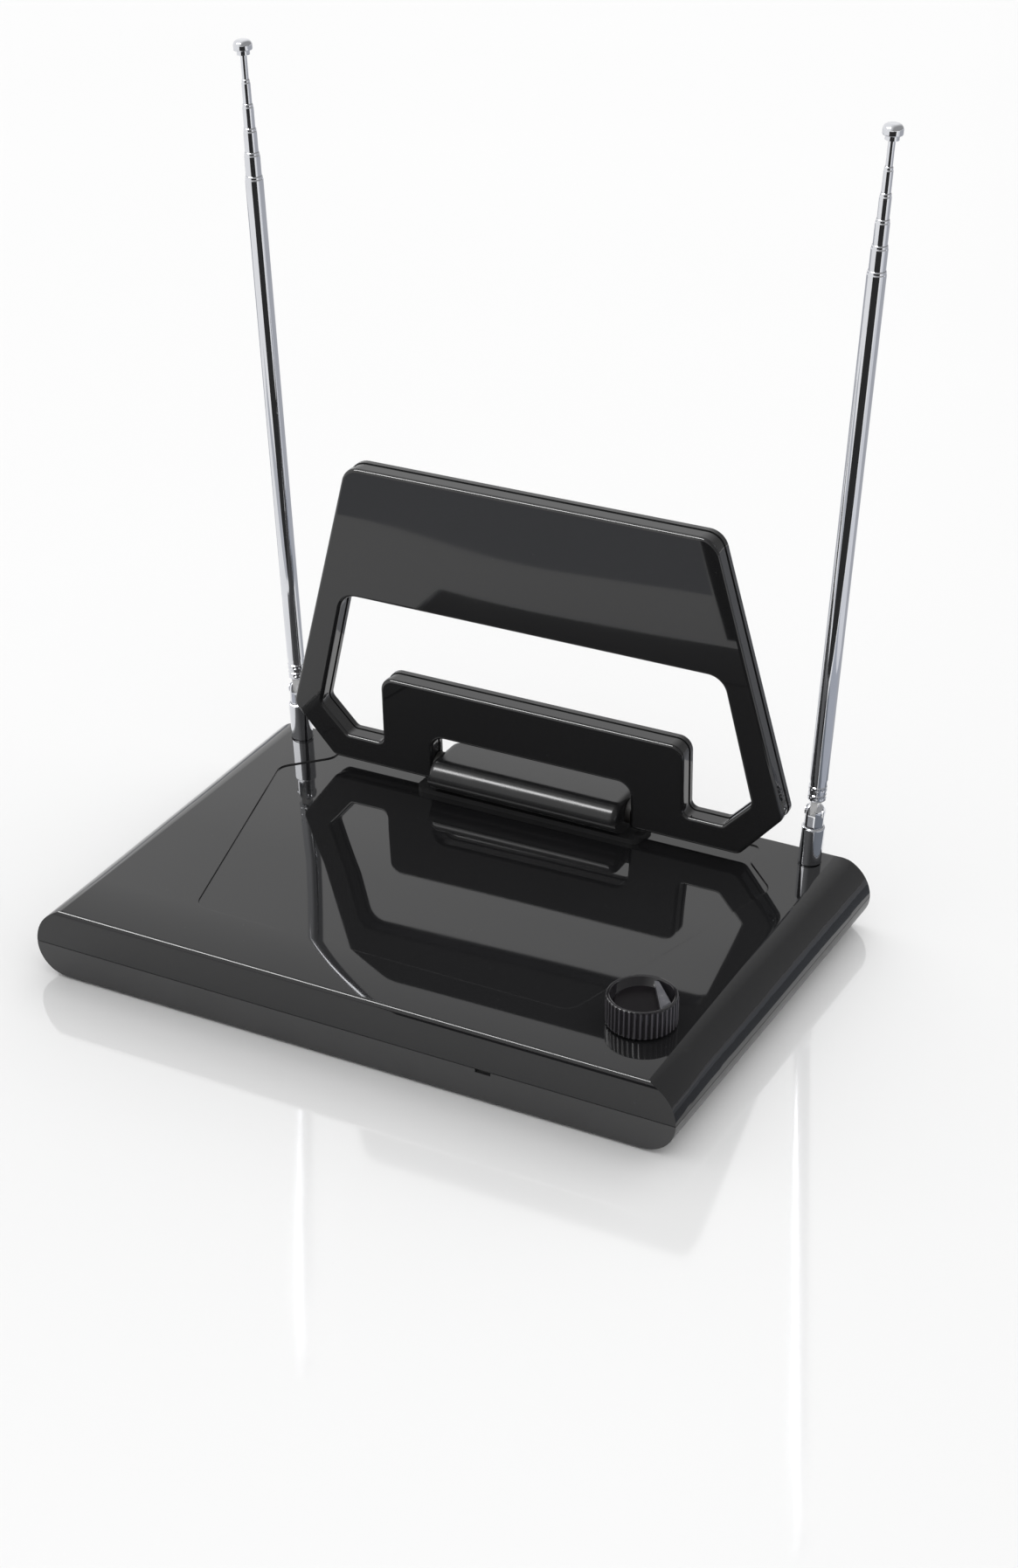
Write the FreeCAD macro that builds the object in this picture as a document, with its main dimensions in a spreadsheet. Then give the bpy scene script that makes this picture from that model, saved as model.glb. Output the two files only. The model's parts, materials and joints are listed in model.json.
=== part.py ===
import FreeCAD, Part
import math
import os
import re
import Sketcher

# Table-top television antenna. A low, weighted base carries a loop panel on a friction hinge,
# a fluted tuning knob, and two telescopic rods that swivel and tilt on knuckles.
# Frame: X to the right, -Y towards the viewer, +Z up, origin on the table under the middle of the base.

# Driving dimensions in millimetres and degrees, as alias, value and meaning.
DIMENSIONS = [
    ("base_width_front", 235.0, "base width at the front face, on the parting line"),
    ("rear_flare", 3.4, "how much further each side stands out at the rear face"),
    ("base_depth", 155.4, "base depth, front face to rear face"),
    ("base_height", 25.45, "table to top face"),
    ("parting_height", 12.1, "table to the line where the two shells meet"),
    ("foot_stand", 0.8, "gap between table and lower shell"),
    ("crease_inset", 9.9, "side crease in from the front corner of the base"),
    ("side_radius", 14.0, "radius of the upper side rounding"),
    ("lower_round_run", 11.0, "how far the lower side rounding runs in"),
    ("shell_wall", 2.2, "wall of both shells"),
    ("seam_gap", 0.25, "open seam between the two shells"),
    ("lip_height", 2.0, "height of the locating lip above the seam"),
    ("lip_wall", 1.4, "how far the locating lip stands inside the upper wall"),
    ("lip_gap", 0.2, "clearance of the lip in the upper shell"),
    ("edge_round", 1.8, "rounding of the front and rear top edges"),
    ("recess_depth", 0.45, "depth of the recess in the top"),
    ("recess_front_margin", 0.9, "recess beyond the top of the folded loop"),
    ("recess_side_margin", 0.6, "recess beyond the sides of the folded loop"),
    ("recess_shoulder", 1.5, "widest place of the recess ahead of the folded loop's"),
    ("recess_heel_margin", 2.8, "recess beyond the loop's lower edge, each side"),
    ("recess_heel_start", 0.7, "where the slanted sides end, ahead of the hinge axis"),
    ("recess_heel_end", 10.1, "recess rear edge behind the hinge axis"),
    ("recess_corner", 6.0, "rounding of the recess corners in plan"),
    ("recess_edge", 0.2, "rounding of the recess rim and floor edge"),
    ("pry_slot_x", 51.6, "pry slot right of the middle"),
    ("pry_slot_width", 5.5, "pry slot width"),
    ("pry_slot_height", 1.2, "pry slot height"),
    ("pry_slot_depth", 1.2, "pry slot depth into the front face"),
    ("base_screw_inset_side", 33.5, "base screws in from the sides"),
    ("base_screw_inset_end", 13.7, "base screws in from the front and rear faces"),
    ("base_screw_diameter", 3.0, "base screw shank"),
    ("base_screw_length", 11.0, "base screw shank length"),
    ("base_screw_head", 5.6, "base screw head diameter"),
    ("base_screw_head_height", 1.8, "base screw head height"),
    ("base_screw_sink", 3.2, "depth of the screw head's counterbore"),
    ("post_diameter", 7.4, "screw post diameter"),
    ("post_seat_height", 7.0, "height where upper and lower screw posts meet"),
    ("press_gap", 0.02, "radial gap of a press fit"),
    ("running_gap", 0.05, "radial gap of a running fit"),
    ("foot_inset_side", 25.5, "feet in from the sides"),
    ("foot_inset_end", 23.7, "feet in from the front and rear faces"),
    ("foot_diameter", 13.0, "foot diameter"),
    ("foot_sink", 1.2, "how far a foot is let into the floor"),
    ("ballast_gap", 3.0, "ballast plate clear of the circuit board"),
    ("ballast_width", 70.0, "ballast plate front to rear"),
    ("ballast_thickness", 3.0, "ballast plate thickness"),
    ("lead_x", 40.0, "lead inlet left of the middle, seen from the front"),
    ("lead_diameter", 5.2, "bore for the aerial lead"),
    ("grommet_diameter", 10.0, "lead grommet in the wall"),
    ("grommet_flange", 13.0, "lead grommet flange inside the wall"),
    ("grommet_flange_thickness", 2.0, "lead grommet flange thickness"),
    ("knob_inset_side", 25.2, "knob in from the right front corner"),
    ("knob_inset_front", 29.0, "knob behind the front face"),
    ("knob_diameter", 23.0, "knob diameter"),
    ("knob_height", 9.9, "knob height"),
    ("knob_lift", 0.6, "gap between knob and top face"),
    ("knob_rim", 1.5, "width of the knob's rim"),
    ("knob_dish", 2.0, "depth of the dished knob top"),
    ("knob_hollow", 17.0, "hollow under the knob"),
    ("knob_hollow_depth", 3.0, "depth of the hollow under the knob"),
    ("flute_count", 40, "flutes round the knob"),
    ("flute_radius", 0.55, "flute radius"),
    ("pointer_narrow", 1.2, "pointer rib width at its rear end"),
    ("pointer_broad", 4.4, "pointer rib width at its front end"),
    ("pointer_rear_aside", 4.1, "rear end of the pointer rib, right of the knob's middle"),
    ("pointer_front_aside", 5.8, "front end of the pointer rib, right of the knob's middle"),
    ("pointer_rear_gap", 1.0, "rear end of the pointer rib in from the rim, front to rear"),
    ("pointer_front_gap", 3.1, "front end of the pointer rib in from the rim, front to rear"),
    ("shaft_diameter", 4.0, "control shaft diameter"),
    ("shaft_grip", 3.5, "how far the shaft goes into the knob"),
    ("control_diameter", 16.0, "tuning control body diameter"),
    ("control_height", 6.4, "tuning control body height"),
    ("control_neck", 7.0, "threaded neck of the tuning control"),
    ("control_nut_flats", 10.0, "nut on the control neck, across flats"),
    ("control_nut_height", 2.0, "nut on the control neck, height"),
    ("board_length", 46.0, "circuit board across the base"),
    ("board_width", 38.0, "circuit board front to rear"),
    ("board_thickness", 1.6, "circuit board thickness"),
    ("board_shift_side", 12.3, "circuit board's middle left of the knob's"),
    ("board_shift_rear", 8.7, "circuit board's middle behind the knob's"),
    ("board_post_diameter", 5.0, "posts under the circuit board"),
    ("hinge_inset", 17.3, "hinge axis in from the rear face"),
    ("hinge_rise", 7.85, "hinge axis above the top face"),
    ("block_radius", 5.8, "hinge block nose radius"),
    ("block_reach", 6.6, "hinge block nose centre ahead of the hinge axis"),
    ("block_tail", 10.0, "rear of the hinge block behind the hinge axis"),
    ("block_step", 0.3, "how far the lower half of the block is set in"),
    ("block_edge", 0.8, "rounding of the block's ends"),
    ("neck_depth", 5.9, "front of the neck under the block, ahead of the hinge axis"),
    ("pedestal_margin", 7.0, "pedestal beyond each end of the block"),
    ("pedestal_front", 8.5, "front of the pedestal, ahead of the hinge axis"),
    ("pedestal_rear", 5.5, "rear of the pedestal, behind the hinge axis"),
    ("pedestal_height", 1.8, "pedestal height on the recess floor"),
    ("pedestal_corner", 3.0, "rounding of the pedestal's corners"),
    ("pin_diameter", 4.0, "hinge pin diameter"),
    ("pin_grip", 14.0, "how far the hinge pin goes into each side of the loop"),
    ("washer_diameter", 9.0, "friction washer diameter"),
    ("washer_thickness", 2.0, "friction washer thickness"),
    ("loop_thickness", 9.2, "loop panel thickness"),
    ("loop_drop", 4.5, "hinge axis above the loop's lower edge"),
    ("loop_lean", 2.6, "forward lean of the loop as it stands"),
    ("loop_height", 116.9, "loop height above its lower edge"),
    ("loop_rod_gap", 5.2, "loop's widest place in from the rods' feet"),
    ("loop_wide_at", 18.4, "height of the widest place"),
    ("loop_heel_run", 16.1, "lower edge's ends in from the widest place"),
    ("loop_top_run", 26.9, "top edge's ends in from the widest place"),
    ("loop_top_corner", 7.0, "rounding of the loop's top corners"),
    ("loop_side_corner", 4.0, "rounding of the loop's other outer corners"),
    ("window_top", 67.1, "top of the window"),
    ("window_top_run", 11.4, "window's top corners in from its widest place"),
    ("side_bar", 11.9, "width of the loop's side bars, across"),
    ("window_wide_at", 21.0, "height of the window's widest place"),
    ("window_bottom", 10.2, "lower edge of the window"),
    ("window_heel_run", 10.2, "window's lower corners in from its widest place"),
    ("window_corner", 7.0, "rounding of the window's top corners"),
    ("window_small_corner", 2.5, "rounding of the window's lower corners"),
    ("tab_gap", 14.9, "gap between the tab and the window's lower corners"),
    ("tab_top", 37.2, "top of the tab"),
    ("tab_corner", 5.0, "rounding of the tab's corners"),
    ("notch_width", 78.2, "width of the hinge notch"),
    ("notch_top", 17.6, "top of the hinge notch"),
    ("notch_corner", 5.0, "rounding of the hinge notch"),
    ("loop_wall", 2.0, "wall of the loop covers"),
    ("loop_edge", 1.2, "rounding of the loop's front and rear edges"),
    ("band_half", 1.7, "half width of the set-in band at the loop's seam"),
    ("band_inset", 0.35, "how far that band is set in"),
    ("conductor_diameter", 2.0, "loop conductor wire"),
    ("conductor_gap", 0.1, "gap between conductor and front cover"),
    ("loop_screw_top_inset", 12.4, "upper loop screws in from the top corners and down from the top edge"),
    ("loop_screw_tab_inset", 9.1, "lower loop screws in from the tab's sides and down from its top"),
    ("loop_screw_diameter", 2.4, "loop screw shank"),
    ("loop_screw_head", 4.4, "loop screw head diameter"),
    ("loop_screw_head_height", 1.4, "loop screw head height"),
    ("loop_post_diameter", 6.0, "screw posts in the loop"),
    ("rod_inset_side", 16.2, "rods in from the sides"),
    ("rod_inset_rear", 9.0, "rods in from the rear face"),
    ("rod_lean", 2.85, "outward lean of the rods"),
    ("collar_diameter", 8.0, "rod collar diameter"),
    ("collar_height", 14.5, "rod collar above the top face"),
    ("collar_seat", 0.5, "how far the collar is let into the top face"),
    ("collar_floor", 2.0, "collar floor above the top face"),
    ("collar_edge", 0.5, "chamfer of the collar's top edge"),
    ("seat_gap", 0.1, "clearance round the collar's seat"),
    ("stem_diameter", 4.0, "fork stem diameter"),
    ("stem_clearance", 0.4, "radial clearance of the stem in the top cover"),
    ("stem_end", 9.5, "fork stem below the top face"),
    ("swivel_nut_flats", 7.0, "nut on the fork stem, across flats"),
    ("swivel_nut_height", 3.0, "nut on the fork stem, height"),
    ("swivel_nut_gap", 0.35, "gap between that nut and the top cover"),
    ("fork_diameter", 6.6, "fork diameter"),
    ("fork_flats", 5.8, "fork width over the flats of its ears"),
    ("fork_slot", 2.6, "slot between the fork's ears"),
    ("fork_slot_floor", 15.2, "floor of that slot above the top face"),
    ("pivot_height", 20.0, "tilt pivot above the top face"),
    ("rivet_diameter", 2.2, "pivot rivet diameter"),
    ("rivet_head", 3.6, "pivot rivet head diameter"),
    ("rivet_head_height", 0.3, "pivot rivet head height"),
    ("tongue_thickness", 2.4, "tongue between the fork's ears"),
    ("tongue_radius", 2.9, "rounding of the tongue's end, and half its width"),
    ("ferrule_bottom", 24.6, "lower edge of the ferrule above the top face"),
    ("ferrule_top", 29.0, "upper edge of the ferrule"),
    ("ferrule_groove", 0.3, "depth of the groove between ferrule and tube"),
    ("rod_diameter", 6.2, "outer tube diameter"),
    ("diameter_step", 0.8, "how much thinner each section is than the last"),
    ("tube_wall", 0.25, "tube wall"),
    ("tube_bottom", 32.6, "lower end of the outer tube above the top face"),
    ("tube_length", 178.9, "length of each tube"),
    ("section_step", 8.1, "how far each pushed-in section stands above the last"),
    ("bush_length", 6.0, "sliding bush below each inner tube"),
    ("mouth_lip", 0.8, "height of the rolled-in tube mouth"),
    ("mouth_chamfer", 0.3, "rounding of the tube mouth"),
    ("tip_cap_height", 5.0, "end cap height"),
    ("tip_cap_diameter", 6.4, "end cap diameter"),
    ("tip_cap_neck", 4.4, "end cap neck diameter"),
    ("tip_cap_neck_height", 1.5, "end cap neck height"),
    ("tip_cap_rim", 1.7, "height of the end cap's straight rim"),
    ("tip_cap_bore_depth", 3.0, "how far the last section goes into the cap"),
]

doc = FreeCAD.newDocument("television_antenna")
sheet = doc.addObject("Spreadsheet::Sheet", "dims")
for row, (alias, number, meaning) in enumerate(DIMENSIONS, start=1):
    sheet.set(f"A{row}", meaning)
    sheet.set(f"B{row}", str(number))
    sheet.setAlias(f"B{row}", alias)
doc.recompute()

CELL_NAMES = {alias: f"dims.{alias}" for alias, number, meaning in DIMENSIONS}
X_AXIS = FreeCAD.Vector(1, 0, 0)
Y_AXIS = FreeCAD.Vector(0, 1, 0)
Z_AXIS = FreeCAD.Vector(0, 0, 1)
ALONG_X = FreeCAD.Rotation(Y_AXIS, 90)
ALONG_Y = FreeCAD.Rotation(X_AXIS, -90)
TOUCHING = 1e-4
sub_parts = []

# Places that follow from the sizes.
HALF_FRONT = "(base_width_front / 2)"
HALF_REAR = "(base_width_front / 2 + rear_flare)"
HALF_FLAT = "(base_width_front / 2 - crease_inset)"
RECESS_FLOOR = "(base_height - recess_depth)"
CEILING = f"({RECESS_FLOOR} - shell_wall)"
LOWER_RIM = "(parting_height - seam_gap)"
FLOOR = "(foot_stand + shell_wall)"
KNOB_X = "(base_width_front / 2 - knob_inset_side)"
KNOB_Y = "(knob_inset_front - base_depth / 2)"
KNOB_BOTTOM = "(base_height + knob_lift)"
CONTROL_BOTTOM = f"({CEILING} - control_height)"
BOARD_BOTTOM = f"({CONTROL_BOTTOM} - board_thickness)"
SHAFT_BOTTOM = f"({CONTROL_BOTTOM} + control_height / 2 + running_gap)"
HINGE_Y = "(base_depth / 2 - hinge_inset)"
HINGE_Z = "(base_height + hinge_rise)"
BLOCK_HALF = "(notch_width / 2 - washer_thickness - 2 * running_gap)"
BLOCK_NOSE = f"({HINGE_Y} - block_reach)"
LOWER_RADIUS = "(block_radius - block_step)"
ROD_X = "(base_width_front / 2 - rod_inset_side)"
ROD_Y = "(base_depth / 2 - rod_inset_rear)"
LOOP_HALF = "(loop_thickness / 2)"
LOOP_CAVITY = f"({LOOP_HALF} - loop_wall)"
LOOP_WIDE = f"({ROD_X} - loop_rod_gap)"
LOOP_HEEL = f"({LOOP_WIDE} - loop_heel_run)"
LOOP_TOP = f"({LOOP_WIDE} - loop_top_run)"
WINDOW_WIDE = f"({LOOP_WIDE} - side_bar)"
WINDOW_TOP = f"({WINDOW_WIDE} - window_top_run)"
WINDOW_HEEL = f"({WINDOW_WIDE} - window_heel_run)"
TAB_HALF = f"({WINDOW_HEEL} - tab_gap)"


def cells(expression):
    """Puts the sheet's name before each alias in an expression."""
    return re.sub(r"[a-z][a-z_0-9]*", lambda word: CELL_NAMES.get(word[0], word[0]), str(expression))


def value(expression):
    """What an expression comes to now."""
    return float(sheet.evalExpression(cells(expression)))


def bind(thing, **sizes):
    """Ties properties to expressions. A double underscore in a name stands for a dot."""
    for name, expression in sizes.items():
        thing.setExpression(name.replace("__", "."), cells(expression))


# Sketches

def sketch_on(body, plane, name, offset="0"):
    """A sketch on one of a body's own planes, moved along that plane's normal."""
    sketch = body.newObject("Sketcher::SketchObject", f"{body.Name}_{name}")
    sketch.AttachmentSupport = (origin_plane(body, plane), [""])
    sketch.MapMode = "FlatFace"
    bind(sketch, AttachmentOffset__Base__z=offset)
    return sketch


def origin_plane(body, role):
    return [feature for feature in body.Origin.OriginFeatures if feature.Role == role][0]


def fix(sketch, edge, end, x, y):
    """Ties a point of a sketch to a place given by two expressions."""
    for kind, expression in (("DistanceX", x), ("DistanceY", y)):
        rule = sketch.addConstraint(Sketcher.Constraint(kind, -1, 1, edge, end, value(expression)))
        bind(sketch, **{f"Constraints[{rule}]": expression})


def arc_between(centre, start, stop):
    """The shorter arc about a centre, and which of its ends are the start and the stop."""
    turns_left = (start - centre).cross(stop - centre).z > 0
    first, last = (start, stop) if turns_left else (stop, start)
    angles = [math.atan2(spot.y - centre.y, spot.x - centre.x) for spot in (first, last)]
    circle = Part.Circle(centre, Z_AXIS, (start - centre).Length)
    return Part.ArcOfCircle(circle, *angles), (1, 2) if turns_left else (2, 1)


def polygon(sketch, corners, closed=True):
    """Straight sides through corners of two expressions. A third one rounds that corner."""
    spots = [FreeCAD.Vector(value(corner[0]), value(corner[1]), 0) for corner in corners]
    count = len(spots)
    reach = list(spots)
    leave = list(spots)
    arcs = {}
    for n, corner in enumerate(corners):
        if len(corner) == 3:
            back = (spots[n - 1] - spots[n]).normalize()
            ahead = (spots[(n + 1) % count] - spots[n]).normalize()
            half_angle = back.getAngle(ahead) / 2
            radius = value(corner[2])
            reach[n] = spots[n] + back * (radius / math.tan(half_angle))
            leave[n] = spots[n] + ahead * (radius / math.tan(half_angle))
            centre = spots[n] + (back + ahead).normalize() * (radius / math.sin(half_angle))
            arcs[n] = arc_between(centre, reach[n], leave[n])
    sides = {}
    for n in range(count if closed else count - 1):
        side = Part.LineSegment(leave[n], reach[(n + 1) % count])
        sides[n] = sketch.addGeometry(side, False)
    for n, corner in enumerate(corners):
        before = sides.get((n - 1) % count)
        after = sides.get(n)
        if n in arcs:
            shape, (start, stop) = arcs[n]
            arc = sketch.addGeometry(shape, False)
            point = sketch.addGeometry(Part.Point(spots[n]), True)
            fix(sketch, point, 1, corner[0], corner[1])
            sketch.addConstraint(Sketcher.Constraint("PointOnObject", point, 1, before))
            sketch.addConstraint(Sketcher.Constraint("PointOnObject", point, 1, after))
            sketch.addConstraint(Sketcher.Constraint("Tangent", before, 2, arc, start))
            sketch.addConstraint(Sketcher.Constraint("Tangent", after, 1, arc, stop))
            rule = sketch.addConstraint(Sketcher.Constraint("Radius", arc, value(corner[2])))
            bind(sketch, **{f"Constraints[{rule}]": corner[2]})
        elif after is None:
            fix(sketch, before, 2, corner[0], corner[1])
        else:
            fix(sketch, after, 1, corner[0], corner[1])
            if before is not None:
                sketch.addConstraint(Sketcher.Constraint("Coincident", before, 2, after, 1))
    return sketch


def profile(sketch, corners):
    """Closed section. A corner with a centre as its third entry is followed by an arc about that centre."""
    spots = [FreeCAD.Vector(value(corner[0]), value(corner[1]), 0) for corner in corners]
    count = len(spots)
    sides = []
    for n, corner in enumerate(corners):
        start = spots[n]
        stop = spots[(n + 1) % count]
        if len(corner) == 3:
            centre = FreeCAD.Vector(value(corner[2][0]), value(corner[2][1]), 0)
            shape, ends = arc_between(centre, start, stop)
        else:
            shape, ends = Part.LineSegment(start, stop), (1, 2)
        sides.append((sketch.addGeometry(shape, False), ends))
    for n, corner in enumerate(corners):
        edge, ends = sides[n]
        last_edge, last_ends = sides[n - 1]
        fix(sketch, edge, ends[0], corner[0], corner[1])
        sketch.addConstraint(Sketcher.Constraint("Coincident", last_edge, last_ends[1], edge, ends[0]))
        if len(corner) == 3:
            chord = spots[(n + 1) % count] - spots[n]
            flat = abs(chord.x) >= abs(chord.y)
            kind, expression = ("DistanceY", corner[2][1]) if flat else ("DistanceX", corner[2][0])
            rule = sketch.addConstraint(Sketcher.Constraint(kind, -1, 1, edge, 3, value(expression)))
            bind(sketch, **{f"Constraints[{rule}]": expression})
    return sketch


def circles(sketch, centres, radius):
    """Circles of one radius about centres of two expressions."""
    for x, y in centres:
        shape = Part.Circle(FreeCAD.Vector(value(x), value(y), 0), Z_AXIS, value(radius))
        edge = sketch.addGeometry(shape, False)
        fix(sketch, edge, 3, x, y)
        rule = sketch.addConstraint(Sketcher.Constraint("Radius", edge, value(radius)))
        bind(sketch, **{f"Constraints[{rule}]": radius})
    return sketch


# Bodies and their features

def new_body(label):
    body = doc.addObject("PartDesign::Body", label)
    body.Label = label
    sub_parts.append(body)
    return body


def extrude(kind, sketch, length, body, back=False, symmetric=False):
    """A Pad or a Pocket of a sketch. A Pocket cuts against the sketch's normal unless it goes back."""
    feature = body.newObject(f"PartDesign::{kind}", f"{body.Name}_{kind.lower()}")
    feature.Profile = sketch
    feature.Reversed = back
    if symmetric:
        feature.SideType = "Symmetric"
    bind(feature, Length=length)
    return feature


def revolve(body, sketch, kind="Revolution"):
    """Turns a sketch about its own vertical axis."""
    feature = body.newObject(f"PartDesign::{kind}", f"{body.Name}_turned")
    feature.Profile = sketch
    feature.ReferenceAxis = (sketch, ["V_Axis"])
    feature.Angle = 360
    return feature


def loft(body, kind, name, section, reach):
    """A ruled solid, or a cut, from a front section to a rear one, each drawn for its own base width."""
    sketches = []
    for place, offset, half_width in (("front", reach, HALF_FRONT), ("rear", f"-({reach})", HALF_REAR)):
        sketch = sketch_on(body, "XZ_Plane", f"{name}_{place}", offset)
        sketches.append(profile(sketch, section(half_width)))
    feature = body.newObject(f"PartDesign::{kind}", f"{body.Name}_{name}")
    feature.Profile = sketches[0]
    feature.Sections = [sketches[1]]
    feature.Ruled = True
    return feature


def drill(body, radius, height, x, y, z, turn=FreeCAD.Rotation(), angle=None):
    """A round cut that starts at a place and runs along a direction."""
    cut = body.newObject("PartDesign::SubtractiveCylinder", f"{body.Name}_bore")
    cut.AttachmentSupport = (origin_plane(body, "XY_Plane"), [""])
    cut.MapMode = "FlatFace"
    cut.AttachmentOffset = FreeCAD.Placement(FreeCAD.Vector(), turn)
    bind(cut, Radius=radius, Height=height, AttachmentOffset__Base__x=x, AttachmentOffset__Base__y=y)
    bind(cut, AttachmentOffset__Base__z=z)
    if angle is not None:
        bind(cut, AttachmentOffset__Rotation__Angle=angle)
    return cut


def round_edges(body, radius, wanted):
    """Rounds the edges of a body's last feature that pass a test."""
    doc.recompute()
    feature = body.Tip
    names = [f"Edge{n}" for n, edge in enumerate(feature.Shape.Edges, start=1) if wanted(edge)]
    rounding = body.newObject("PartDesign::Fillet", f"{body.Name}_round")
    rounding.Base = (feature, names)
    bind(rounding, Radius=radius)
    return rounding


def lies_at(edge, axis, place):
    """True for an edge that stays in the plane at a place along x, y or z."""
    box = edge.BoundBox
    low, high = getattr(box, f"{axis.upper()}Min"), getattr(box, f"{axis.upper()}Max")
    return abs(low - place) < TOUCHING and abs(high - place) < TOUCHING


# Part primitives

def cylinder(name, diameter, height, x, y, z, turn=FreeCAD.Rotation()):
    shape = doc.addObject("Part::Cylinder", name)
    shape.Placement = FreeCAD.Placement(FreeCAD.Vector(), turn)
    bind(shape, Radius=f"({diameter}) / 2", Height=height)
    bind(shape, Placement__Base__x=x, Placement__Base__y=y, Placement__Base__z=z)
    return shape


def group(label, solids):
    """Separate like solids that share one node."""
    compound = doc.addObject("Part::Compound", label)
    compound.Label = label
    compound.Links = solids
    sub_parts.append(compound)
    return compound


def fused(name, shapes):
    union = doc.addObject("Part::MultiFuse", name)
    union.Shapes = shapes
    return union


def cut_from(name, base, tool):
    difference = doc.addObject("Part::Cut", name)
    difference.Base = base
    difference.Tool = tool
    return difference


def near_corners(inset_side, inset_end):
    """Four places near the corners of the base."""
    x = f"(base_width_front / 2 - {inset_side})"
    y = f"(base_depth / 2 - {inset_end})"
    return [(f"{across} * {x}", f"{along} * {y}") for across in (-1, 1) for along in (-1, 1)]


def both_sides(corners):
    """The right-hand corners in turn, then the same mirrored, in the opposite order."""
    left = [(f"-({corner[0]})", *corner[1:]) for corner in reversed(corners)]
    return corners + left


BASE_SCREWS = near_corners("base_screw_inset_side", "base_screw_inset_end")
FEET = near_corners("foot_inset_side", "foot_inset_end")


# Base shells

def upper_section(half_width):
    """Flat top that meets each side's convex rounding at a crease."""
    run = f"({half_width} - {HALF_FLAT})"
    rise = "(base_height - parting_height)"
    pull = f"sqrt(side_radius^2 / ({run}^2 + {rise}^2) - 0.25)"
    across = f"({half_width} - {run} / 2 - {pull} * {rise})"
    height = f"(parting_height + {rise} / 2 - {pull} * {run})"
    return [
        (f"-{half_width}", "parting_height", (f"-{across}", height)),
        (f"-{HALF_FLAT}", "base_height"),
        (HALF_FLAT, "base_height", (across, height)),
        (half_width, "parting_height"),
    ]


def upper_hollow_section(half_width):
    """Room inside the upper shell: upright past the lip, then in to the ceiling."""
    inner = f"({half_width} - shell_wall)"
    shoulder = "(parting_height + 1.5 * lip_height)"
    return [
        (f"-{inner}", "parting_height"),
        (f"-{inner}", shoulder),
        (f"-{HALF_FLAT}", CEILING),
        (HALF_FLAT, CEILING),
        (inner, shoulder),
        (inner, "parting_height"),
    ]


def lower_section(half_width):
    """Flat floor whose sides round up to the parting line."""
    foot = f"({half_width} - lower_round_run)"
    rise = f"({LOWER_RIM} - foot_stand)"
    centre = f"({half_width} - (lower_round_run^2 + {rise}^2) / (2 * lower_round_run))"
    return [
        (f"-{half_width}", LOWER_RIM),
        (half_width, LOWER_RIM, (centre, LOWER_RIM)),
        (foot, "foot_stand"),
        (f"-{foot}", "foot_stand", (f"-{centre}", LOWER_RIM)),
    ]


def lower_hollow_section(half_width):
    """Room inside the lower shell and its lip."""
    inner = f"({half_width} - shell_wall - lip_wall)"
    foot = f"({half_width} - lower_round_run)"
    lip_top = f"({LOWER_RIM} + seam_gap + lip_height)"
    return [
        (f"-{inner}", lip_top),
        (f"-{inner}", LOWER_RIM),
        (f"-{foot}", FLOOR),
        (foot, FLOOR),
        (inner, LOWER_RIM),
        (inner, lip_top),
    ]


def cut_lead_hole(body):
    """Half of the round hole in the rear wall that the grommet sits in."""
    drill(
        body, "grommet_diameter / 2 + press_gap", "4 * shell_wall",
        "-lead_x", "base_depth / 2 - 3 * shell_wall", "parting_height", ALONG_Y,
    )


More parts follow.
